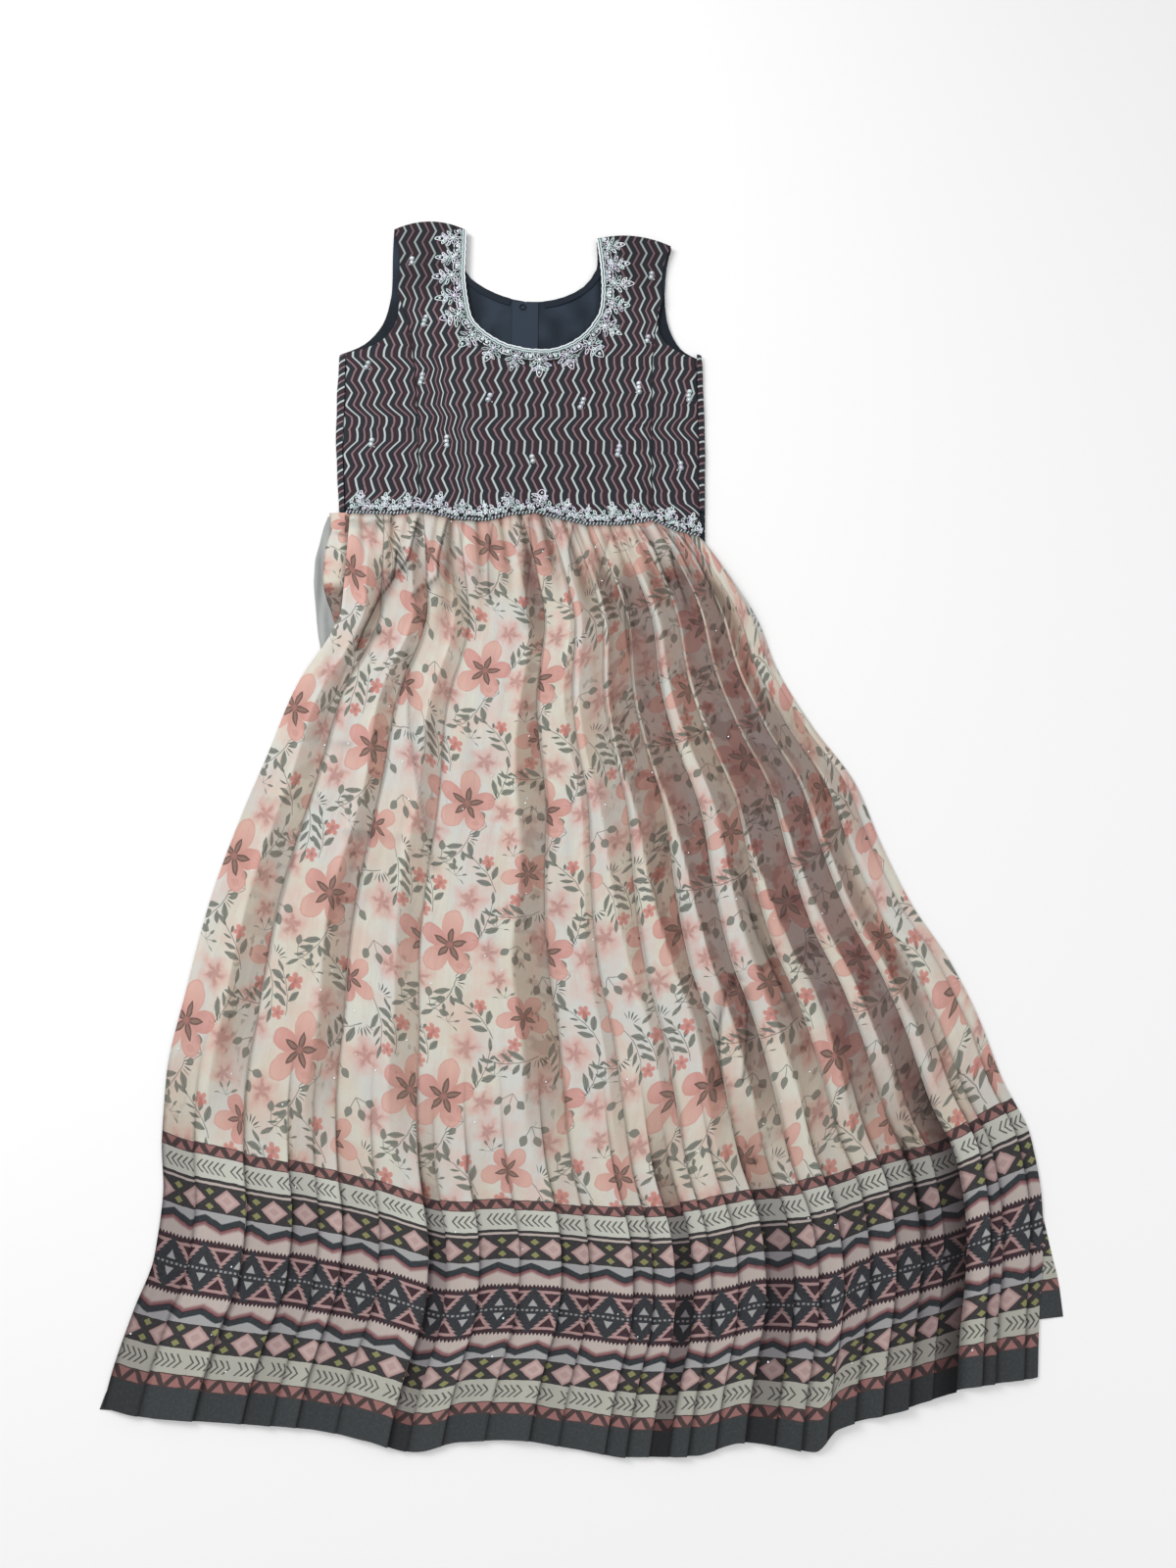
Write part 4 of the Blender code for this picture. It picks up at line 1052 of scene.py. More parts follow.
def gather_lines(share, down):
    """Depth of the gathers at the waist, and the painted shade in their valleys."""
    depth = np.zeros_like(share)
    dark = np.zeros_like(share)
    for gather in GATHERS:
        along = np.clip(down / gather.reach, 0.0, 1.0)
        middle = gather.top + (gather.low - gather.top) * along
        spread = gather.width * (0.8 + 1.6 * along)
        line = bell(share - middle, spread)
        fade = 1.0 - smooth((down / gather.reach - 0.25) / 0.75)
        depth += gather.depth * line * fade
        dark += gather.dark * bell(share - middle + spread * 0.5, spread * 1.3) * fade
    return depth, np.clip(dark, 0.0, 0.95)


def line_distance(points, line):
    """Signed distance of plan points from a line of points, above 0 on its right as it runs down."""
    nearest = np.full(points.shape[:-1], 1e9)
    signed = np.zeros(points.shape[:-1])
    ends = np.ones(points.shape[:-1])
    for start, end in zip(line[:-1], line[1:]):
        start = np.array(start, float)
        along = np.array(end, float) - start
        share = ((points - start) @ along) / (along @ along)
        spot = start + np.clip(share, 0.0, 1.0)[..., None] * along
        gap = points - spot
        distance = np.hypot(gap[..., 0], gap[..., 1])
        side = np.sign(along[0] * (points - start)[..., 1] - along[1] * (points - start)[..., 0])
        closer = distance < nearest
        nearest = np.where(closer, distance, nearest)
        signed = np.where(closer, distance * side, signed)
        beyond = np.abs(share - np.clip(share, 0.0, 1.0)) * np.hypot(*along)
        ends = np.where(closer, bell(beyond, 5.0), ends)
    return signed, ends


def pinch_relief(x, y):
    """Height and darkness of the pinched folds at plan points."""
    points = np.stack([x, y], axis=-1)
    height = np.zeros_like(x)
    dark = np.zeros_like(x)
    for pinch in PINCHES:
        signed, ends = line_distance(points, pinch.points)
        over = signed * pinch.side
        rise = smooth((over + 1.2) / 1.8) * np.exp(-np.maximum(over, 0.0) / pinch.fade)
        height += pinch.height * rise * ends
        line = bell(over + 1.3, 1.5)
        shade = 0.42 * bell(over + 4.0, 5.5) * (over < 0.0)
        dark = np.maximum(dark, pinch.dark * np.maximum(line, shade) * ends)
    return height, dark


def spread_line(columns, values, reach):
    """The values along the columns, each averaged with its neighbours within the reach."""
    weights = bell(columns[:, None] - columns[None, :], reach)
    return weights @ values / weights.sum(axis=1)


class FrontSkirt:
    """Grid of the front skirt, with the strip and the facet that each of its points belongs to."""

    def __init__(self):
        self.plan = SkirtPlan(SKIRT_LEFT_EDGE, SKIRT_RIGHT_EDGE, FRONT_HEM)
        self.columns, self.strips, self.facets = skirt_front_columns()
        rows = np.linspace(0.0, 1.0, SKIRT_ROWS) ** ROW_POWER
        self.share = np.broadcast_to(self.columns, (len(rows), len(self.columns)))
        self.down = np.broadcast_to(rows[:, None], self.share.shape)
        self.low = smooth((self.down - FACETS_FROM) / FACETS_FADE)
        self.x, self.y = self.plan.place(self.share, self.down)
        self.inside, self.strip_width = self.part_of(STRIPS, self.strips)
        self.within, facet_width = self.part_of(FACETS, self.facets)
        self.from_facet = self.within * facet_width * HEM_WIDTH
        nearer = smooth((self.down - 0.28) / 0.30)
        self.band_from = column_values(STRIPS, "band_from", self.strips) * (1.0 - nearer)
        self.band_from = self.band_from + column_values(STRIPS, "low_from", self.strips) * nearer
        self.cloth = self.cloth_places()
        self.gather_depth, self.valley = gather_lines(self.share, self.down)
        self.pinched, self.pinch_shadow = pinch_relief(self.x, self.y)

    def part_of(self, table, index):
        """How far across its strip or facet each point lies, and the share of the width that it has."""
        starts = np.array([row.start for row in table])
        width = (np.append(starts[1:], 1.0) - starts)[index]
        return (self.share - starts[index]) / width, width

    def cloth_places(self):
        """Cloth coordinates: each strip keeps its own cloth, and the rest of it is tucked under."""
        starts = np.array([strip.start for strip in STRIPS])
        left_x, left_y = self.plan.place(starts[self.strips][None, :] * np.ones_like(self.share), self.down)
        hem_x = self.plan.place(np.append(starts, 1.0)[None, :], np.ones((1, len(STRIPS) + 1)))[0][0]
        offsets = (hem_x - hem_x[0])[:-1] + 23.0 * np.arange(len(STRIPS)) % 61.0
        tucks = np.cumsum([facet.tuck for facet in FACETS])
        from_left = np.hypot(self.x - left_x, self.y - left_y)
        u = offsets[self.strips] + from_left + tucks[self.facets] * self.low
        stretch = table_curve(PRINT_STRETCH, self.columns)
        slips = column_values(FACETS, "slip", self.facets) * self.low
        jogs = np.array([random.Random(index).uniform(-2.0, 2.0) for index in range(len(STRIPS))])
        v = length_from_hem(self.x, self.y) / stretch + jogs[self.strips] * (1.0 - self.low) + slips

        # The waves of the hem fade out of the print towards the border's top
        hem_y = self.plan.place(self.columns[None, :], np.ones((1, len(self.columns))))[1][0]
        wave = hem_y - spread_line(self.columns, hem_y, HEM_WAVE_REACH)
        wave = wave * smooth(np.minimum(self.columns, 1.0 - self.columns) / 0.08)
        v = v + wave * np.clip((v - HEM_END) / (BORDER_END - HEM_END), 0.0, 1.0)
        return np.stack([u, v], axis=-1)

    def heights(self):
        """Strips folded over their neighbours, pressed facets near the hem, gathers at the waist."""
        share = self.share
        down = self.down
        step = column_values(STRIPS, "step", self.strips)
        pleat = step * smooth((self.inside - self.band_from + 0.12) / 0.24)
        pleat = pleat * (0.35 + 0.65 * smooth(down / 0.10)) * (1.0 - 0.45 * self.low)
        roof = column_values(FACETS, "roof", self.facets) * self.within ** 1.4 * self.low
        puff = 2.6 * (1.0 - smooth((down - 0.01) / 0.16))
        soft = ripple(self.cloth, 70.0, (1.6, 0.45), 3.0) * 1.5
        soft = soft + ripple(self.cloth, 26.0, (1.5, 0.5), 9.0) * 0.7
        fine = ripple(self.cloth, 13.0, (1.6, 0.28), 5.0)
        relief = pleat + roof + puff - self.gather_depth + self.pinched
        relief = relief + (soft + 1.2 + fine * 0.5) * smooth(down / 0.08)
        side = np.minimum(share, 1.0 - share)
        base = BACK_TOP + 0.8 + (FRONT_TOP - BACK_TOP - 1.0) * (1.0 - smooth((down - 0.02) / 0.34))
        drop = 1.0 - smooth(side / 0.018)
        drop = np.where((share < 0.5) & (down < 0.26), drop * smooth((down - 0.2) / 0.06), drop)
        z = base + relief * smooth(side / 0.010) - (base - BACK_TOP - 0.4) * drop
        return np.maximum(z, BACK_TOP + 0.35)

    def layer_and_shade_tone(self):
        """How much the layers folded under the cloth darken it, together with painted shade of the pleats,
        soft folds, facets and gathers.
        """
        down = self.down
        wander = ripple(self.cloth, 45.0, (1.0, 0.3), 21.0) * 0.12
        band = column_values(STRIPS, "band", self.strips)
        tone = band * smooth((self.inside - self.band_from + wander) / 0.05) * smooth((down - 0.03) / 0.06)
        light_side = smooth((down - 0.40) / 0.08) + 1.0 - smooth((down - 0.20) / 0.08)
        light_side = light_side * smooth((self.share - 0.93) / 0.03)
        tone = tone * (1.0 - 0.78 * light_side) * (1.0 - self.low)
        # Painted shade in soft streaks down the strips, for their gentle folds
        streak_shade = ripple(self.cloth, 17.0, (1.0, 0.12), 33.0) * 0.5 + 0.5
        tone = tone + np.clip(streak_shade - 0.62, 0.0, 1.0) * 0.5 * (1.0 - self.low)
        # Painted shade of the pressed facets: each facet's own shade, darker along its start and fading
        # across it
        facet_tone = column_values(FACETS, "tone", self.facets)
        edge_shade = 0.30 * bell(self.from_facet, 3.0)
        tone = tone + (facet_tone + edge_shade + 0.10 * (1.0 - self.within)) * self.low
        # Painted shade in the gathers' valleys
        return np.clip(tone + self.valley * 0.8, 0.0, 1.0)

    def shadows(self):
        """Shadow under the waist seam, along the pinched folds and in the facets' tucks."""
        facet_tone = column_values(FACETS, "tone", self.facets)
        seam = 0.8 * np.exp(-((waist_y(self.x) - self.y) / 3.0))
        fold = 0.55 * bell(self.from_facet - 0.8, 1.3) * self.low * (facet_tone > 0.0)
        deep = 1.7 * np.maximum(facet_tone - 0.40, 0.0) * self.within ** 0.6 * self.low
        shadow = np.maximum(np.maximum(self.pinch_shadow, seam), np.maximum(fold, deep))
        return np.clip(shadow, 0.0, 1.0)

    def ridge_highlights(self):
        """Painted highlight: pale lines along the strips' pressed edges, here and there along each."""
        ridge = column_values(STRIPS, "ridge", self.strips)
        line = bell(self.inside * self.strip_width * MIDDLE_WIDTH, 1.8)
        patchy = np.clip(0.60 + 0.9 * ripple(self.cloth, 24.0, (0.1, 1.0), 41.0), 0.1, 1.0)
        bright = ridge * line * patchy * smooth((self.down - 0.05) / 0.1) * (1.0 - self.low)
        return np.clip(bright, 0.0, 1.0)


def build_skirt_front(material):
    skirt = FrontSkirt()
    points = np.stack([skirt.x, skirt.y, skirt.heights()], axis=-1)
    grid = Grid()
    # Values for the material: the layers' tone with painted shade, the painted highlight on the fold edges,
    # and painted shadow
    grid.add(points, skirt.cloth, under=skirt.layer_and_shade_tone(), ridge=skirt.ridge_highlights(), shadow=skirt.shadows())
    return grid.build("skirt_front_cloth", material)


def build_skirt_back(material):
    plan = SkirtPlan(BACK_SKIRT_LEFT_EDGE, BACK_SKIRT_RIGHT_EDGE, BACK_HEM)
    share = np.broadcast_to(np.linspace(0.0, 1.0, 120), (90, 120))
    down = np.broadcast_to(np.linspace(0.0, 1.0, 90)[:, None], share.shape)
    x, y = plan.place(share, down)
    side = np.minimum(share, 1.0 - share)
    z = 0.5 + 0.8 * smooth(side / 0.03) * np.ones_like(x)
    top = np.stack([x, y, z], axis=-1)
    cloth = np.stack([x + 430.0, length_from_hem(x, y)], axis=-1)
    grid = Grid()
    grid.add(top, cloth, under=np.full_like(x, 0.12))
    add_side_roll(grid)
    return grid.build("skirt_back_cloth", material)


# The back skirt's side, rolled forward over the lining below the waist: its two edges and its height
RollPoint = namedtuple("RollPoint", "y outer inner height")
SIDE_ROLL = (
    RollPoint(154, -271, -268, 0.6), RollPoint(166, -275, -262, 1.2), RollPoint(184, -282, -259, 2.0),
    RollPoint(208, -287, -258, 2.6), RollPoint(232, -287, -258, 2.6), RollPoint(252, -284, -259, 1.9),
    RollPoint(262, -281, -262, 1.0), RollPoint(270, -282, -260, 1.8), RollPoint(284, -284, -257, 1.4),
)


def add_side_roll(grid):
    levels = [point.y for point in SIDE_ROLL]
    ys = np.linspace(284.0, 154.0, 80)
    outer = curve(levels, [point.outer for point in SIDE_ROLL], ys)
    inner = curve(levels, [point.inner for point in SIDE_ROLL], ys)
    height = curve(levels, [point.height for point in SIDE_ROLL], ys)
    around = np.linspace(0.0, 1.0, 22)
    xs = outer[:, None] + (inner - outer)[:, None] * around[None, :]
    flat = np.stack([xs, np.broadcast_to(ys[:, None], xs.shape)], axis=-1)
    folds = ripple(flat, 12.0, (1.3, 0.5), 61.0) * 0.5
    arch = np.sqrt(np.clip(around * 1.6, 0.0, 1.0)) * np.sqrt(np.clip((1.0 - around) * 1.4, 0.0, 1.0))
    zs = LINING_TOP + 1.6 + (height[:, None] + folds) * arch[None, :]
    shade = 0.9 * smooth((around[None, :] - 0.62) / 0.30) * smooth((236.0 - ys[:, None]) / 40.0)
    shade = np.maximum(shade, 0.55 * smooth((around[None, :] - 0.60) / 0.26))
    pinch = 0.85 * bell(ys[:, None] - 262.0 + 7.0 * around[None, :], 2.6) * around[None, :]
    rim = 0.55 * bell(around[None, :], 0.06) * np.ones_like(xs)
    # Painted shade over the lower part of the roll
    low_shade = 0.75 * smooth((205.0 - ys[:, None]) / 16.0) * np.ones_like(xs)
    shadow = np.clip(np.maximum(np.maximum(shade, pinch), rim), 0.0, 1.0)
    cloth = np.stack([flat[..., 1] * 1.15 + 60.0, xs * 1.2 + 705.0], axis=-1)
    grid.add(with_heights(flat, zs), cloth, under=low_shade, shadow=shadow)


# Bodice

def refine(stations, steps):
    """Adds steps between the stations on a smooth curve that keeps each corner sharp."""
    fine = []
    for index in range(len(stations) - 1):
        here = np.array(stations[index][:5], float)
        after = np.array(stations[index + 1][:5], float)
        before = here if stations[index].corner else np.array(stations[index - 1][:5], float)
        beyond = after if stations[index + 1].corner else np.array(stations[index + 2][:5], float)
        for step in range(steps):
            t = step / steps
            fine.append(0.5 * (2 * here + (after - before) * t
                               + (2 * before - 5 * here + 4 * after - beyond) * t * t
                               + (3 * here - before - 3 * after + beyond) * t ** 3))
    fine.append(np.array(stations[-1][:5], float))
    fine = np.array(fine)
    for column in (0, 2):
        at_waist = waist_y(fine[:, column])
        fine[:, column + 1] = np.where(fine[:, column + 1] < at_waist + 4.0, at_waist, fine[:, column + 1])
    return fine


def panel_points(stations, shares):
    """Plan points of a panel: one row for each station, one column for each share across it."""
    near = stations[:, None, 0:2]
    far = stations[:, None, 2:4]
    along = far - near
    length = np.hypot(along[..., 0], along[..., 1])
    side = np.stack([-along[..., 1], along[..., 0]], axis=-1) / length[..., None]
    shares = np.asarray(shares)[None, :]
    bulge = 4.0 * shares * (1.0 - shares) * stations[:, 4][:, None]
    points = near + along * shares[..., None] + side * bulge[..., None]
    points[..., 1] = np.maximum(points[..., 1], waist_y(points[..., 0]))
    return points


# Creases of the front bodice: ends of each one, its width and depth, and how much cloth it takes up
Crease = namedtuple("Crease", "x0 y0 x1 y1 width depth hidden")
CREASES = (
    Crease(-204, 560, -190, 395, 5.0, 1.3, 4.0),
    Crease(-190, 395, -184, 300, 6.0, 0.9, 6.0),
    Crease(-172, 474, -158, 372, 6.0, 0.9, 9.0),
    Crease(-142, 402, -134, 300, 6.0, 0.9, 8.0),
    Crease(-232, 468, -202, 474, 4.0, 1.1, 0.0),
    Crease(70, 545, 74, 400, 5.0, 1.2, 3.0),
    Crease(74, 400, 72, 290, 6.0, 0.9, 5.0),
    Crease(-60, 452, -30, 380, 10.0, 0.6, 0.0),
    Crease(20, 470, 40, 380, 9.0, 0.6, 2.0),
    Crease(-250, 440, -236, 330, 9.0, 0.7, 3.0),
    Crease(100, 440, 108, 330, 8.0, 0.6, 3.0),
    Crease(-20, 400, 20, 318, 10.0, 0.5, 0.0),
)


def hidden_cloth(points):
    """How far the print has moved sideways, left to right, over the cloth that creases take up."""
    total = np.zeros(points.shape[:-1])
    for crease in CREASES:
        if crease.hidden:
            middle = np.interp(points[..., 1], [crease.y1, crease.y0], [crease.x1, crease.x0])
            centre = (crease.y0 + crease.y1) / 2.0
            reach = abs(crease.y0 - crease.y1) / 2.0
            here = 1.0 - smooth((np.abs(points[..., 1] - centre) - reach * 0.8) / (reach * 0.6))
            across = (points[..., 0] - middle) / (crease.width * 1.7)
            total += crease.hidden * here * np.tanh(across)
    return total


def crease_depth(points):
    """Depth of the creases at plan points."""
    total = np.zeros(points.shape[:-1])
    for crease in CREASES:
        start = np.array([crease.x0, crease.y0], float)
        end = np.array([crease.x1, crease.y1], float)
        along = end - start
        share = ((points - start) @ along) / (along @ along)
        nearest = start + np.clip(share, 0.0, 1.0)[..., None] * along
        gap = np.hypot(points[..., 0] - nearest[..., 0], points[..., 1] - nearest[..., 1])
        total += crease.depth * bell(gap, crease.width)
    return total


def bodice_height(points):
    """Outer face of the front bodice over the surface."""
    soft = ripple(points, 60.0, (1.0, 0.6), 2.0) * 0.9
    left = -278.0 + 10.0 * smooth((400.0 - points[..., 1]) / 130.0)
    room = np.minimum(points[..., 0] - left, 128.0 - points[..., 0])
    belly = 1.4 * smooth(room / 40.0)
    edge = smooth((room + 6.0) / 16.0)
    drop = (1.0 - edge) * smooth((500.0 - points[..., 1]) / 12.0)
    height = FRONT_TOP + belly * 0.5 + soft * 0.5 - crease_depth(points) * 0.8
    return height - (FRONT_TOP - BACK_TOP - 1.5) * drop


def build_bodice_panel(name, table, steps, columns, material, shift, neck_side=False):
    stations = refine(table, steps)
    points = panel_points(stations, np.linspace(0.0, 1.0, columns))
    z = bodice_height(points)
    seam = np.minimum(np.linspace(0.0, 1.0, columns), 1.0 - np.linspace(0.0, 1.0, columns))
    cloth = points + np.array([shift, 0.0])
    cloth[..., 0] += hidden_cloth(points)
    dark = 0.75 * bell(seam, 0.012) * np.ones_like(z)
    above_waist = points[..., 1] - waist_y(points[..., 0])
    dark = np.maximum(dark, 0.92 * (1.0 - smooth((above_waist - 6.0) / 2.0)))
    dark = np.maximum(dark, 0.60 * (1.0 - smooth((above_waist - 13.0) / 5.0)))
    dark = np.maximum(dark, 0.34 * smooth((points[..., 1] - 545.0) / 40.0))
    if neck_side:
        from_neck = np.hypot(*np.moveaxis(points - points[:, :1], -1, 0))
        dark = np.maximum(dark, 0.80 * (1.0 - smooth((from_neck - 15.0) / 8.0)))
    grid = Grid()
    grid.add(with_heights(points, z), cloth, under=dark)
    return grid.build(name, material)


def build_back_panel(name, table, wrap_x, wrap_out, material):
    """Back panel, flat below, with the strip of it that rolls up to the front along the side seam."""
    stations = refine(table, 4)
    points = panel_points(stations, np.linspace(0.0, 1.0, 40))
    z = np.full(points.shape[:-1], 0.6)
    grid = Grid()
    turned = np.stack([points[..., 1], points[..., 0]], axis=-1)
    grid.add(with_heights(points, z), turned)
    ys = np.linspace(484.0, 286.0, 60)
    around = np.linspace(0.0, 1.0, 9)
    outer = np.interp(ys, [283.0, 365.0, 430.0, 485.0], wrap_out)
    inner = np.interp(ys, [283.0, 365.0, 430.0, 485.0], wrap_x)
    angle = around[None, :] * math.pi / 2.0
    wave = 0.7 * np.sin(ys / 9.0) + 0.5 * np.sin(ys / 23.0)
    xs = inner[:, None] + (outer + wave * 0.4 - inner)[:, None] * np.cos(angle)
    zs = 1.0 + (FRONT_TOP - 1.1 + wave[:, None] * 0.15) * np.sin(angle)
    level = np.broadcast_to(ys[:, None], xs.shape)
    grid.add(np.stack([xs, level, zs], axis=-1), np.stack([level, xs + 300.0], axis=-1))
    return grid.build(name, material)


def build_lining(name, table, first, last, material, seed):
    stations = refine(table, 4)
    points = panel_points(stations, np.linspace(first, last, 40))
    soft = ripple(points, 30.0, (1.0, 1.0), seed) * 0.5 + ripple(points, 12.0, (1.0, 1.0), seed + 3.0) * 0.25
    z = LINING_TOP + 0.3 + soft
    # Painted shade: soft blotches for the lining's folds, painted shadow along the front neckline, and
    # painted shade by the armholes
    blot = 0.22 + 0.55 * ripple(points, 24.0, (1.0, 0.6), seed + 7.0)
    from_neck, _ = line_distance(points, neckline_path().points[::4])
    dark = np.maximum(np.clip(blot, 0.0, 0.55), 0.65 * bell(from_neck, 6.0))
    by_armhole = smooth(-(points[..., 0] + 196.0) / 10.0) + smooth((points[..., 0] - 74.0) / 10.0)
    dark = np.maximum(dark, 0.60 * by_armhole * smooth((570.0 - points[..., 1]) / 14.0))
    grid = Grid()
    grid.add(with_heights(points, z), points, under=dark)
    return grid.build(name, material)


def build_skirt_lining(material):
    """Pale lining that bulges out below the waist."""
    outer = ((106, -282), (126, -285), (139, -288), (173, -293), (208, -297), (225, -297), (250, -293),
             (267, -290), (281, -286))
    ys = np.linspace(281.0, 106.0, 90)
    edge = table_curve(outer, ys)
    around = np.linspace(0.0, 1.0, 34)
    xs = edge[:, None] + 40.0 * around[None, :] ** 1.2
    lift = np.sin(np.clip(around * 3.0, 0.0, 1.0) * math.pi / 2.0)
    flat = np.stack([xs, np.broadcast_to(ys[:, None], xs.shape)], axis=-1)
    folds = ripple(flat, 9.0, (1.0, 0.16), 71.0) * 0.8 * lift[None, :]
    zs = 1.7 + 1.7 * lift[None, :] + folds
    grid = Grid()
    # Painted shade in the troughs of the lining's folds
    grid.add(with_heights(flat, zs), flat, under=np.clip(0.16 - folds * 0.75, 0.0, 0.6))
    return grid.build("skirt_lining_cloth", material)


# Embroidery

class Beadwork:
    """Beads, cords and sequins gathered into one mesh."""

    BALL = ((0, 0, 1), (0.894, 0, 0.447), (0.276, 0.851, 0.447), (-0.724, 0.526, 0.447),
            (-0.724, -0.526, 0.447), (0.276, -0.851, 0.447), (0.724, 0.526, -0.447),
            (-0.276, 0.851, -0.447), (-0.894, 0, -0.447), (-0.276, -0.851, -0.447),
            (0.724, -0.526, -0.447), (0, 0, -1))
    BALL_FACES = ((0, 1, 2), (0, 2, 3), (0, 3, 4), (0, 4, 5), (0, 5, 1), (1, 6, 2), (2, 7, 3), (3, 8, 4),
                  (4, 9, 5), (5, 10, 1), (6, 7, 2), (7, 8, 3), (8, 9, 4), (9, 10, 5), (10, 6, 1),
                  (11, 7, 6), (11, 8, 7), (11, 9, 8), (11, 10, 9), (11, 6, 10))

    def __init__(self, seed):
        self.draw = random.Random(seed)
        self.points = []
        self.faces = []
        self.sparkle = []
        self.tint = []

    def add(self, points, faces, sparkle):
        first = len(self.points)
        self.points.extend(points)
        self.faces.extend([tuple(first + corner for corner in face) for face in faces])
        self.sparkle.extend([sparkle] * len(points))
        self.tint.extend([self.draw.random()] * len(points))

    def bead(self, center, radius, squash=1.0, sparkle=None):
        turn = self.draw.uniform(0.0, math.tau)
        cos, sin = math.cos(turn), math.sin(turn)
        points = [(center[0] + radius * (px * cos - py * sin), center[1] + radius * (px * sin + py * cos),
                   center[2] + radius * pz * squash) for px, py, pz in self.BALL]
        drawn = self.draw.choice((0.1, 0.6, 0.9, 1.0, 1.0))
        self.add(points, self.BALL_FACES, drawn if sparkle is None else sparkle)

    def cord(self, path, radius, closed=False, sides=5, sparkle=None):
        """Cord along plan points with heights, as a tube."""
        path = [np.asarray(point, float) for point in path]
        count = len(path)
        points = []
        for index in range(count):
            before = path[index - 1] if closed or index > 0 else path[0]
            after = path[(index + 1) % count] if closed or index < count - 1 else path[-1]
            along = after - before
            size = max(1e-6, float(np.hypot(along[0], along[1])))
            across = np.array([-along[1] / size, along[0] / size, 0.0])
            for side in range(sides):
                angle = math.tau * side / sides
                points.append(tuple(path[index] + across * radius * math.cos(angle)
                                    + np.array([0.0, 0.0, radius * math.sin(angle)])))
        faces = []
        spans = count if closed else count - 1
        for index in range(spans):
            here = index * sides
            after = ((index + 1) % count) * sides
            for side in range(sides):
                turn = (side + 1) % sides
                faces.append((here + side, here + turn, after + turn, after + side))
        if not closed:
            faces.append(tuple(range(sides - 1, -1, -1)))
            faces.append(tuple(range((count - 1) * sides, count * sides)))
        self.add(points, faces, self.draw.choice((0.6, 0.9, 1.0, 1.0)) if sparkle is None else sparkle)

    def build(self, name, material):
        """Lays the work, made over a flat plane, on the bodice."""
        points = np.array(self.points, float)
        points[:, 2] += bodice_height(points[:, :2])
        values = {"sparkle": self.sparkle, "tint": self.tint}
        return make_object(name, points, self.faces, None, values, material, True)


class TrimPath:
    """Base line of a trim, with places measured along it and out from it."""

    def __init__(self, points, outward):
        self.points = np.asarray(points, float)
        steps = np.hypot(*np.diff(self.points, axis=0).T)
        self.along = np.concatenate([[0.0], np.cumsum(steps)])
        self.length = self.along[-1]
        self.outward = outward

    def spot(self, along):
        return np.array([np.interp(along, self.along, self.points[:, axis]) for axis in (0, 1)])

    def point(self, along, out, up):
        """A place along the line, moved out from it and up."""
        along = min(max(along, 0.0), self.length)
        x, y = self.spot(along)
        dx, dy = self.spot(min(along + 4.0, self.length)) - self.spot(max(along - 4.0, 0.0))
        size = math.hypot(dx, dy)
        return (x - dy / size * out * self.outward, y + dx / size * out * self.outward, up)


def spiral(center, radius, start, flip):
    """Scroll that winds inwards from its rim."""
    found = []
    for index in range(SCROLL_POINTS):
        t = index / (SCROLL_POINTS - 1)
        angle = start + flip * t * SCROLL_TURNS * math.tau
        reach = radius * (1.0 - 0.78 * t)
        found.append((center[0] + reach * math.cos(angle), center[1] + reach * math.sin(angle)))
    return found


def loop(center, long, short, turn, count):
    """Leaf shaped loop with one end at its centre point and the other along the turn."""
    found = []
    for index in range(count):
        angle = math.tau * index / count
        px = long * 0.5 * (1.0 - math.cos(angle))
        py = short * math.sin(angle) * (0.75 + 0.25 * math.cos(angle))
        found.append((center[0] + px * math.cos(turn) - py * math.sin(turn),
                      center[1] + px * math.sin(turn) + py * math.cos(turn)))
    return found


def put(work, path, at, points, radius, closed, up=0.7):
    """Cord through points given along the trim from a motif's place and out from its base line."""
    lifted = []
    for index, (along, out) in enumerate(points):
        lifted.append(path.point(at + along, out, up + 0.3 * math.sin(index * 1.7)))
    work.cord(lifted, radius, closed)


def stitch_flower(work, path, at, out, radius, petals):
    """Round flower of looped petals with a large stone at its heart."""
    for petal in range(petals):
        turn = math.tau * petal / petals + work.draw.uniform(-0.12, 0.12)
        start = (radius * 0.34 * math.cos(turn), out + radius * 0.34 * math.sin(turn))
        put(work, path, at, loop(start, radius * 0.70, radius * 0.25, turn, 9), TRIM_CORD * 0.8, True, 1.0)
    work.bead(path.point(at, out, 1.6), radius * 0.30, 0.7, 1.0)


def stitch_tip(work, path, at, out, long):
    """Three leaves on a short stem at the outer edge, each with a stone in it."""
    put(work, path, at, [(0.0, out - 3.0), (0.3, out - 1.0), (0.0, out + 1.0)], TRIM_CORD, False)
    for turn, share in ((0.0, 1.0), (0.95, 0.66), (-0.95, 0.66)):
        lean = UPRIGHT + turn
        reach = long * share
        put(work, path, at, loop((0.0, out), reach, reach * 0.29, lean, 12), TRIM_CORD, True)
        center = path.point(at + reach * 0.58 * math.cos(lean), out + reach * 0.58 * math.sin(lean), 0.9)
        work.bead(center, reach * 0.13, 0.8, 1.0)


def stitch_fill(work, path, at, half, low, high, count):
    """Loose beads and short bugle beads between the larger forms."""
    for _ in range(count):
        a = work.draw.uniform(-half, half)
        b = work.draw.uniform(low, high - abs(a) * (high - low) / half * 0.35)
        if work.draw.random() < 0.3:
            lean = work.draw.uniform(0.0, math.pi)
            reach = work.draw.uniform(0.9, 1.5)
            ends = [(a - reach * math.cos(lean), b - reach * math.sin(lean)),
                    (a + reach * math.cos(lean), b + reach * math.sin(lean))]
            put(work, path, at, ends, TRIM_CORD, False, 0.5)
        else:
            center = path.point(at + a, b, work.draw.uniform(0.3, 0.7))
            work.bead(center, work.draw.uniform(0.75, 1.15), 0.8)


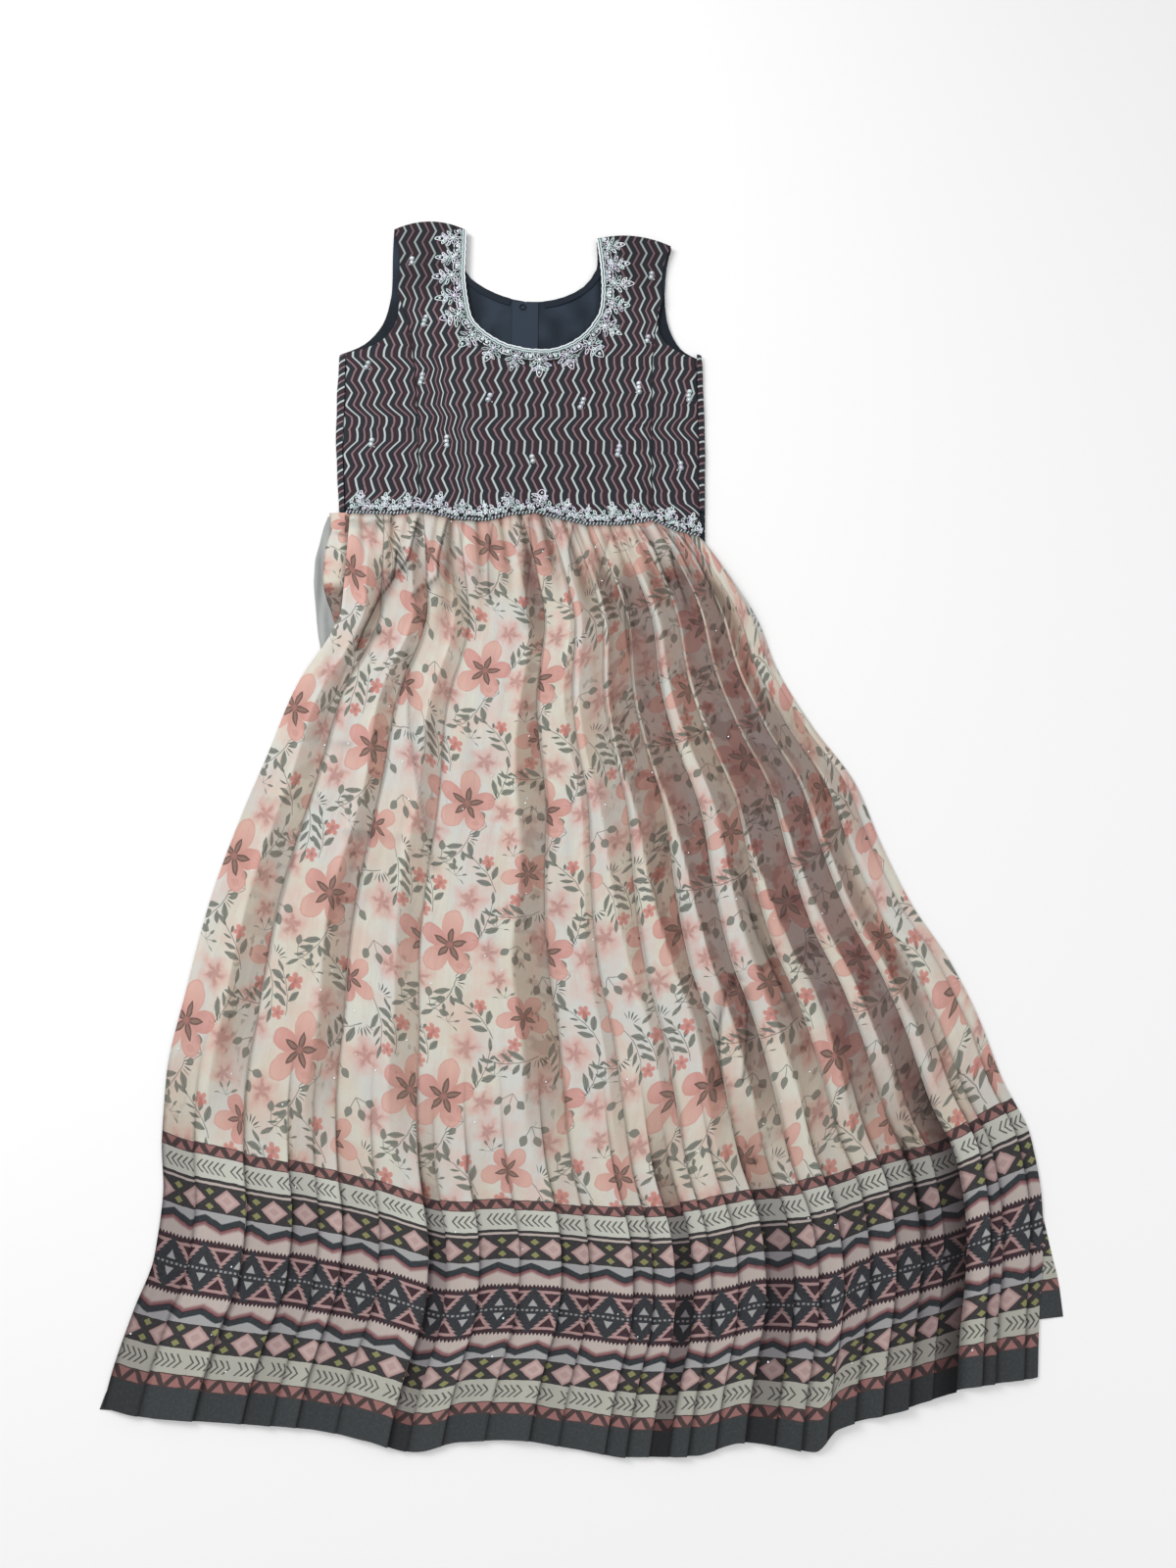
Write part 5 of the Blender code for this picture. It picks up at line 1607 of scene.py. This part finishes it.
def stitch_neck_motif(work, path, at, size):
    """Flower between scrolls, with a leafy tip that points away from the neck."""
    stitch_flower(work, path, at, 13.0 * size, 6.6 * size, 7)
    stitch_tip(work, path, at, 20.5 * size, 12.0 * size)
    for side in (-1.0, 1.0):
        scroll = spiral((side * 9.8, 10.0), 4.4, UPRIGHT - side * 0.6, side)
        put(work, path, at, scroll, TRIM_CORD, False)
        leaf = loop((side * 5.0, 16.6 * size), 6.4, 1.9, UPRIGHT - side * 0.95, 10)
        put(work, path, at, leaf, TRIM_CORD, True)
        work.bead(path.point(at + side * 9.8, 10.0, 0.9), 1.6, 0.8, 1.0)
        work.bead(path.point(at + side * 13.8, 7.6, 0.6), 1.3, 0.8)
    stitch_fill(work, path, at, 11.0, 6.8, 14.0 * size, 8)


def stitch_waist_motif(work, path, at, size):
    """Dense scrolls and small flowers with a leafy tip that stands up between them."""
    stitch_flower(work, path, at, 13.2 * size, 5.0 * size, 7)
    stitch_tip(work, path, at, 18.6 * size, 9.0 * size)
    stitch_flower(work, path, at + 13.6, 9.0, 3.9, 6)
    for side in (-1.0, 1.0):
        scroll = spiral((side * 8.6, 9.6), 4.0, UPRIGHT - side * 0.8, side)
        put(work, path, at, scroll, TRIM_CORD, False)
        outer_leaf = loop((side * 10.6, 13.4), 5.4, 1.7, UPRIGHT + side * 0.5, 10)
        put(work, path, at, outer_leaf, TRIM_CORD, True)
        low_leaf = loop((side * 3.4, 5.0), 4.6, 1.5, UPRIGHT - side * 0.9, 9)
        put(work, path, at, low_leaf, TRIM_CORD, True)
        work.bead(path.point(at + side * 8.6, 9.6, 1.0), 1.6, 0.8, 1.0)
        work.bead(path.point(at + side * 5.2, 18.4 * size, 0.8), 1.1, 0.8)
    stitch_fill(work, path, at, 13.6, 4.4, 12.5, 20)


def neck_edge(work, path):
    """Two smooth cords along the neckline with a row of beads beside them."""
    for out, radius in ((1.0, 1.00), (3.8, 0.90)):
        line = []
        for index in range(int(path.length / 2.0) + 1):
            sway = 0.25 * math.sin(index * 1.3)
            line.append(path.point(index * 2.0, out + sway, 0.7 + 0.2 * math.cos(index * 2.1)))
        work.cord(line, radius, False, 6, 1.0)
    for index in range(int(path.length / 2.2)):
        work.bead(path.point(index * 2.2 + 1.0, 6.1, 0.6), 0.9, 0.8)


def waist_edge(work, path):
    """Thin rope of light and dark turns along the waist seam."""
    for index in range(int(path.length / 1.9)):
        middle = index * 1.9 + 1.0
        bar = [path.point(middle + along, out, up)
               for along, out, up in ((-0.7, 0.2, 0.5), (0.0, 1.9, 0.9), (0.7, 3.6, 0.5))]
        work.cord(bar, TRIM_CORD, False, 5, (0.95, 0.05)[index % 2])


def build_trim(name, seed, path, motifs, size, edge, stitch_motif, material):
    work = Beadwork(seed)
    edge(work, path)
    pitch = path.length / motifs
    for motif in range(motifs):
        at = (motif + 0.5) * pitch + work.draw.uniform(-0.8, 0.8)
        stitch_motif(work, path, at, size * work.draw.uniform(0.90, 1.08))
    return work.build(name, material)


Buti = namedtuple("Buti", "x y")
BUTIS = (
    Buti(-251, 470), Buti(-187, 528), Buti(-110, 428), Buti(-5, 420), Buti(-241, 371), Buti(-157, 372),
    Buti(-60, 350), Buti(36, 360), Buti(105, 342), Buti(117, 430), Buti(71, 505), Buti(-188, 452),
    Buti(76, 590), Buti(60, 440), Buti(-205, 610),
)


def build_butis(material):
    """Small clusters of two or three stones scattered over the bodice."""
    work = Beadwork(77)
    for place, buti in enumerate(BUTIS):
        lean = work.draw.uniform(-0.4, 0.4)
        for along in ((-5.4, 0.0, 5.4) if place % 2 else (-3.4, 2.4)):
            x = buti.x + along * math.sin(lean) + work.draw.uniform(-0.6, 0.6)
            y = buti.y + along * math.cos(lean)
            work.bead((x, y, 0.9), work.draw.uniform(1.9, 2.4), 0.75, 1.0)
            ring = [(x + 2.7 * math.cos(math.tau * k / 10), y + 2.7 * math.sin(math.tau * k / 10), 0.4)
                    for k in range(10)]
            work.cord(ring, 0.40, True, 4, 0.7)
        work.bead((buti.x + 3.2 * math.copysign(1.0, lean), buti.y - 6.4, 0.5), 0.9)
    return work.build("bodice_stones", material)


def neckline_path():
    return TrimPath(refine(FRONT_CENTER, 6)[:, 0:2], -1.0)


def waist_path():
    xs = np.linspace(-266.0, 125.0, 120)
    return TrimPath(np.stack([xs, waist_y(xs) + 0.8], axis=-1), 1.0)


def scatter_sequins(skirt, material):
    """Small flat sequins here and there on the front skirt."""
    draw = random.Random(5)
    mesh = skirt.data
    points = []
    faces = []
    while len(faces) < SEQUIN_COUNT:
        vertex = mesh.vertices[draw.randrange(len(mesh.vertices))]
        if vertex.normal.z > 0.9:
            x, y, z = (level / MM for level in vertex.co)
            first = len(points)
            radius = draw.uniform(0.6, 0.95)
            tilt = draw.uniform(-0.25, 0.25)
            for corner in range(8):
                angle = math.tau * corner / 8.0
                px, py = radius * math.cos(angle), radius * math.sin(angle)
                points.append((x + px, y + py - FOOTPRINT_SHIFT_Y, z + 0.55 + px * tilt))
            faces.append(tuple(range(first, first + 8)))
    values = {"sparkle": np.ones(len(points)), "tint": np.full(len(points), 0.5)}
    return make_object("skirt_sequins", points, faces, None, values, material, True)


def stage_floor():
    mesh = bpy.data.meshes.new("floor")
    corners = [(x * FLOOR_REACH, y * FLOOR_REACH, 0.0) for x, y in ((-1, -1), (1, -1), (1, 1), (-1, 1))]
    mesh.from_pydata(corners, [], [(0, 1, 2, 3)])
    floor = bpy.data.objects.new("floor", mesh)
    bpy.context.collection.objects.link(floor)
    material = bpy.data.materials.new("floor")
    material.use_nodes = True
    shader = material.node_tree.nodes["Principled BSDF"]
    shader.inputs["Base Color"].default_value = (0.95, 0.95, 0.95, 1.0)
    shader.inputs["Roughness"].default_value = 0.9
    mesh.materials.append(material)


def lights_and_camera():
    world = bpy.data.worlds.new("studio")
    bpy.context.scene.world = world
    world.use_nodes = True
    world.node_tree.nodes["Background"].inputs["Color"].default_value = (1.0, 1.0, 1.0, 1.0)
    world.node_tree.nodes["Background"].inputs["Strength"].default_value = WORLD_LIGHT
    for studio_light in LIGHTS:
        data = bpy.data.lights.new(studio_light.name, "AREA")
        data.energy = studio_light.energy
        data.size = studio_light.size
        light = bpy.data.objects.new(studio_light.name, data)
        light.location = studio_light.place
        light.rotation_euler = (-Vector(studio_light.place)).to_track_quat("-Z", "Y").to_euler()
        bpy.context.collection.objects.link(light)
    data = bpy.data.cameras.new("camera")
    data.sensor_fit = "VERTICAL"
    data.sensor_height = SENSOR
    data.lens = FOCAL_SHARE * SENSOR
    camera = bpy.data.objects.new("camera", data)
    camera.location = (CAMERA_X, CAMERA_Y, CAMERA_HEIGHT)
    camera.rotation_euler = (math.radians(CAMERA_TILT), 0.0, 0.0)
    bpy.context.collection.objects.link(camera)
    bpy.context.scene.camera = camera
    bpy.context.scene.view_settings.view_transform = "Standard"


def attach(piece, slot, *nodes):
    """Puts a piece on the body and hides the nodes that it replaces; its slot is not used."""
    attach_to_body(piece, "root")
    if nodes:
        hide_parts(*nodes)


def lay(piece, slot, node):
    attach(piece, slot, node)
    return piece


def lay_skirt():
    print_cloth = skirt_material()
    pale = plain_material("pale_lining", LINING_PALE, 0.7, 1.4, (1.0, 0.5), 0.1, 0.3)
    front = lay(build_skirt_front(print_cloth), "skirt_print", "skirt_front")
    lay(build_skirt_back(print_cloth), "skirt_print", "skirt_back")
    lay(build_skirt_lining(pale), "lining_pale", "skirt_lining")
    return front


def lay_bodice(black):
    zigzag = zigzag_material()
    center = build_bodice_panel("bodice_center_cloth", FRONT_CENTER, 7, 110, zigzag, 0.0, True)
    lay(center, "bodice_print", "bodice_front_center")
    left = build_bodice_panel("bodice_left_cloth", FRONT_LEFT, 18, 40, zigzag, 5.0)
    lay(left, "bodice_print", "bodice_front_left")
    right = build_bodice_panel("bodice_right_cloth", FRONT_RIGHT, 18, 30, zigzag, -4.0)
    lay(right, "bodice_print", "bodice_front_right")
    back_left = build_back_panel("bodice_back_left_cloth", BACK_LEFT, (-267, -274, -275, -277),
                                 (-274, -282, -284.5, -285), zigzag)
    lay(back_left, "bodice_print", "bodice_back_left")
    back_right = build_back_panel("bodice_back_right_cloth", BACK_RIGHT, (125, 127, 127, 127),
                                  (131, 134, 134, 133), zigzag)
    lay(back_right, "bodice_print", "bodice_back_right")
    lining_left = build_lining("lining_left_cloth", BACK_LEFT, 0.006, 0.995, black, 4.0)
    lay(lining_left, "lining_dark", "lining_back_left")
    lining_right = build_lining("lining_right_cloth", BACK_RIGHT, 0.005, 0.994, black, 8.0)
    lay(lining_right, "lining_dark", "lining_back_right")


def sew_embroidery(skirt_front):
    silver = bead_material()
    neck = build_trim("neck_trim_work", 30, neckline_path(), NECK_MOTIFS, 1.10, neck_edge,
                      stitch_neck_motif, silver)
    attach(neck, "embroidery", "neck_trim")
    waist = build_trim("waist_trim_work", 29, waist_path(), WAIST_MOTIFS, 1.0, waist_edge,
                       stitch_waist_motif, silver)
    attach(waist, "embroidery", "waist_trim")
    attach(build_butis(silver), "embroidery")
    attach(scatter_sequins(skirt_front, silver), "embroidery")


def main():
    lights_and_camera()
    stage_floor()
    black = plain_material("black_lining", LINING_BLACK, 0.5, 0.8)
    facing = plain_material("black_facing", FACING_BLACK, 0.5, 0.5)
    thread = plain_material("black_thread", THREAD_BLACK, 0.6, 0.2)
    skirt_front = lay_skirt()
    lay_bodice(black)
    sew_embroidery(skirt_front)
    for name, look in (("facing_back_left", facing), ("facing_back_right", facing), ("placket", black),
                       ("neck_loop", thread)):
        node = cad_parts[name]
        node.data.materials.clear()
        node.data.materials.append(look)


main()
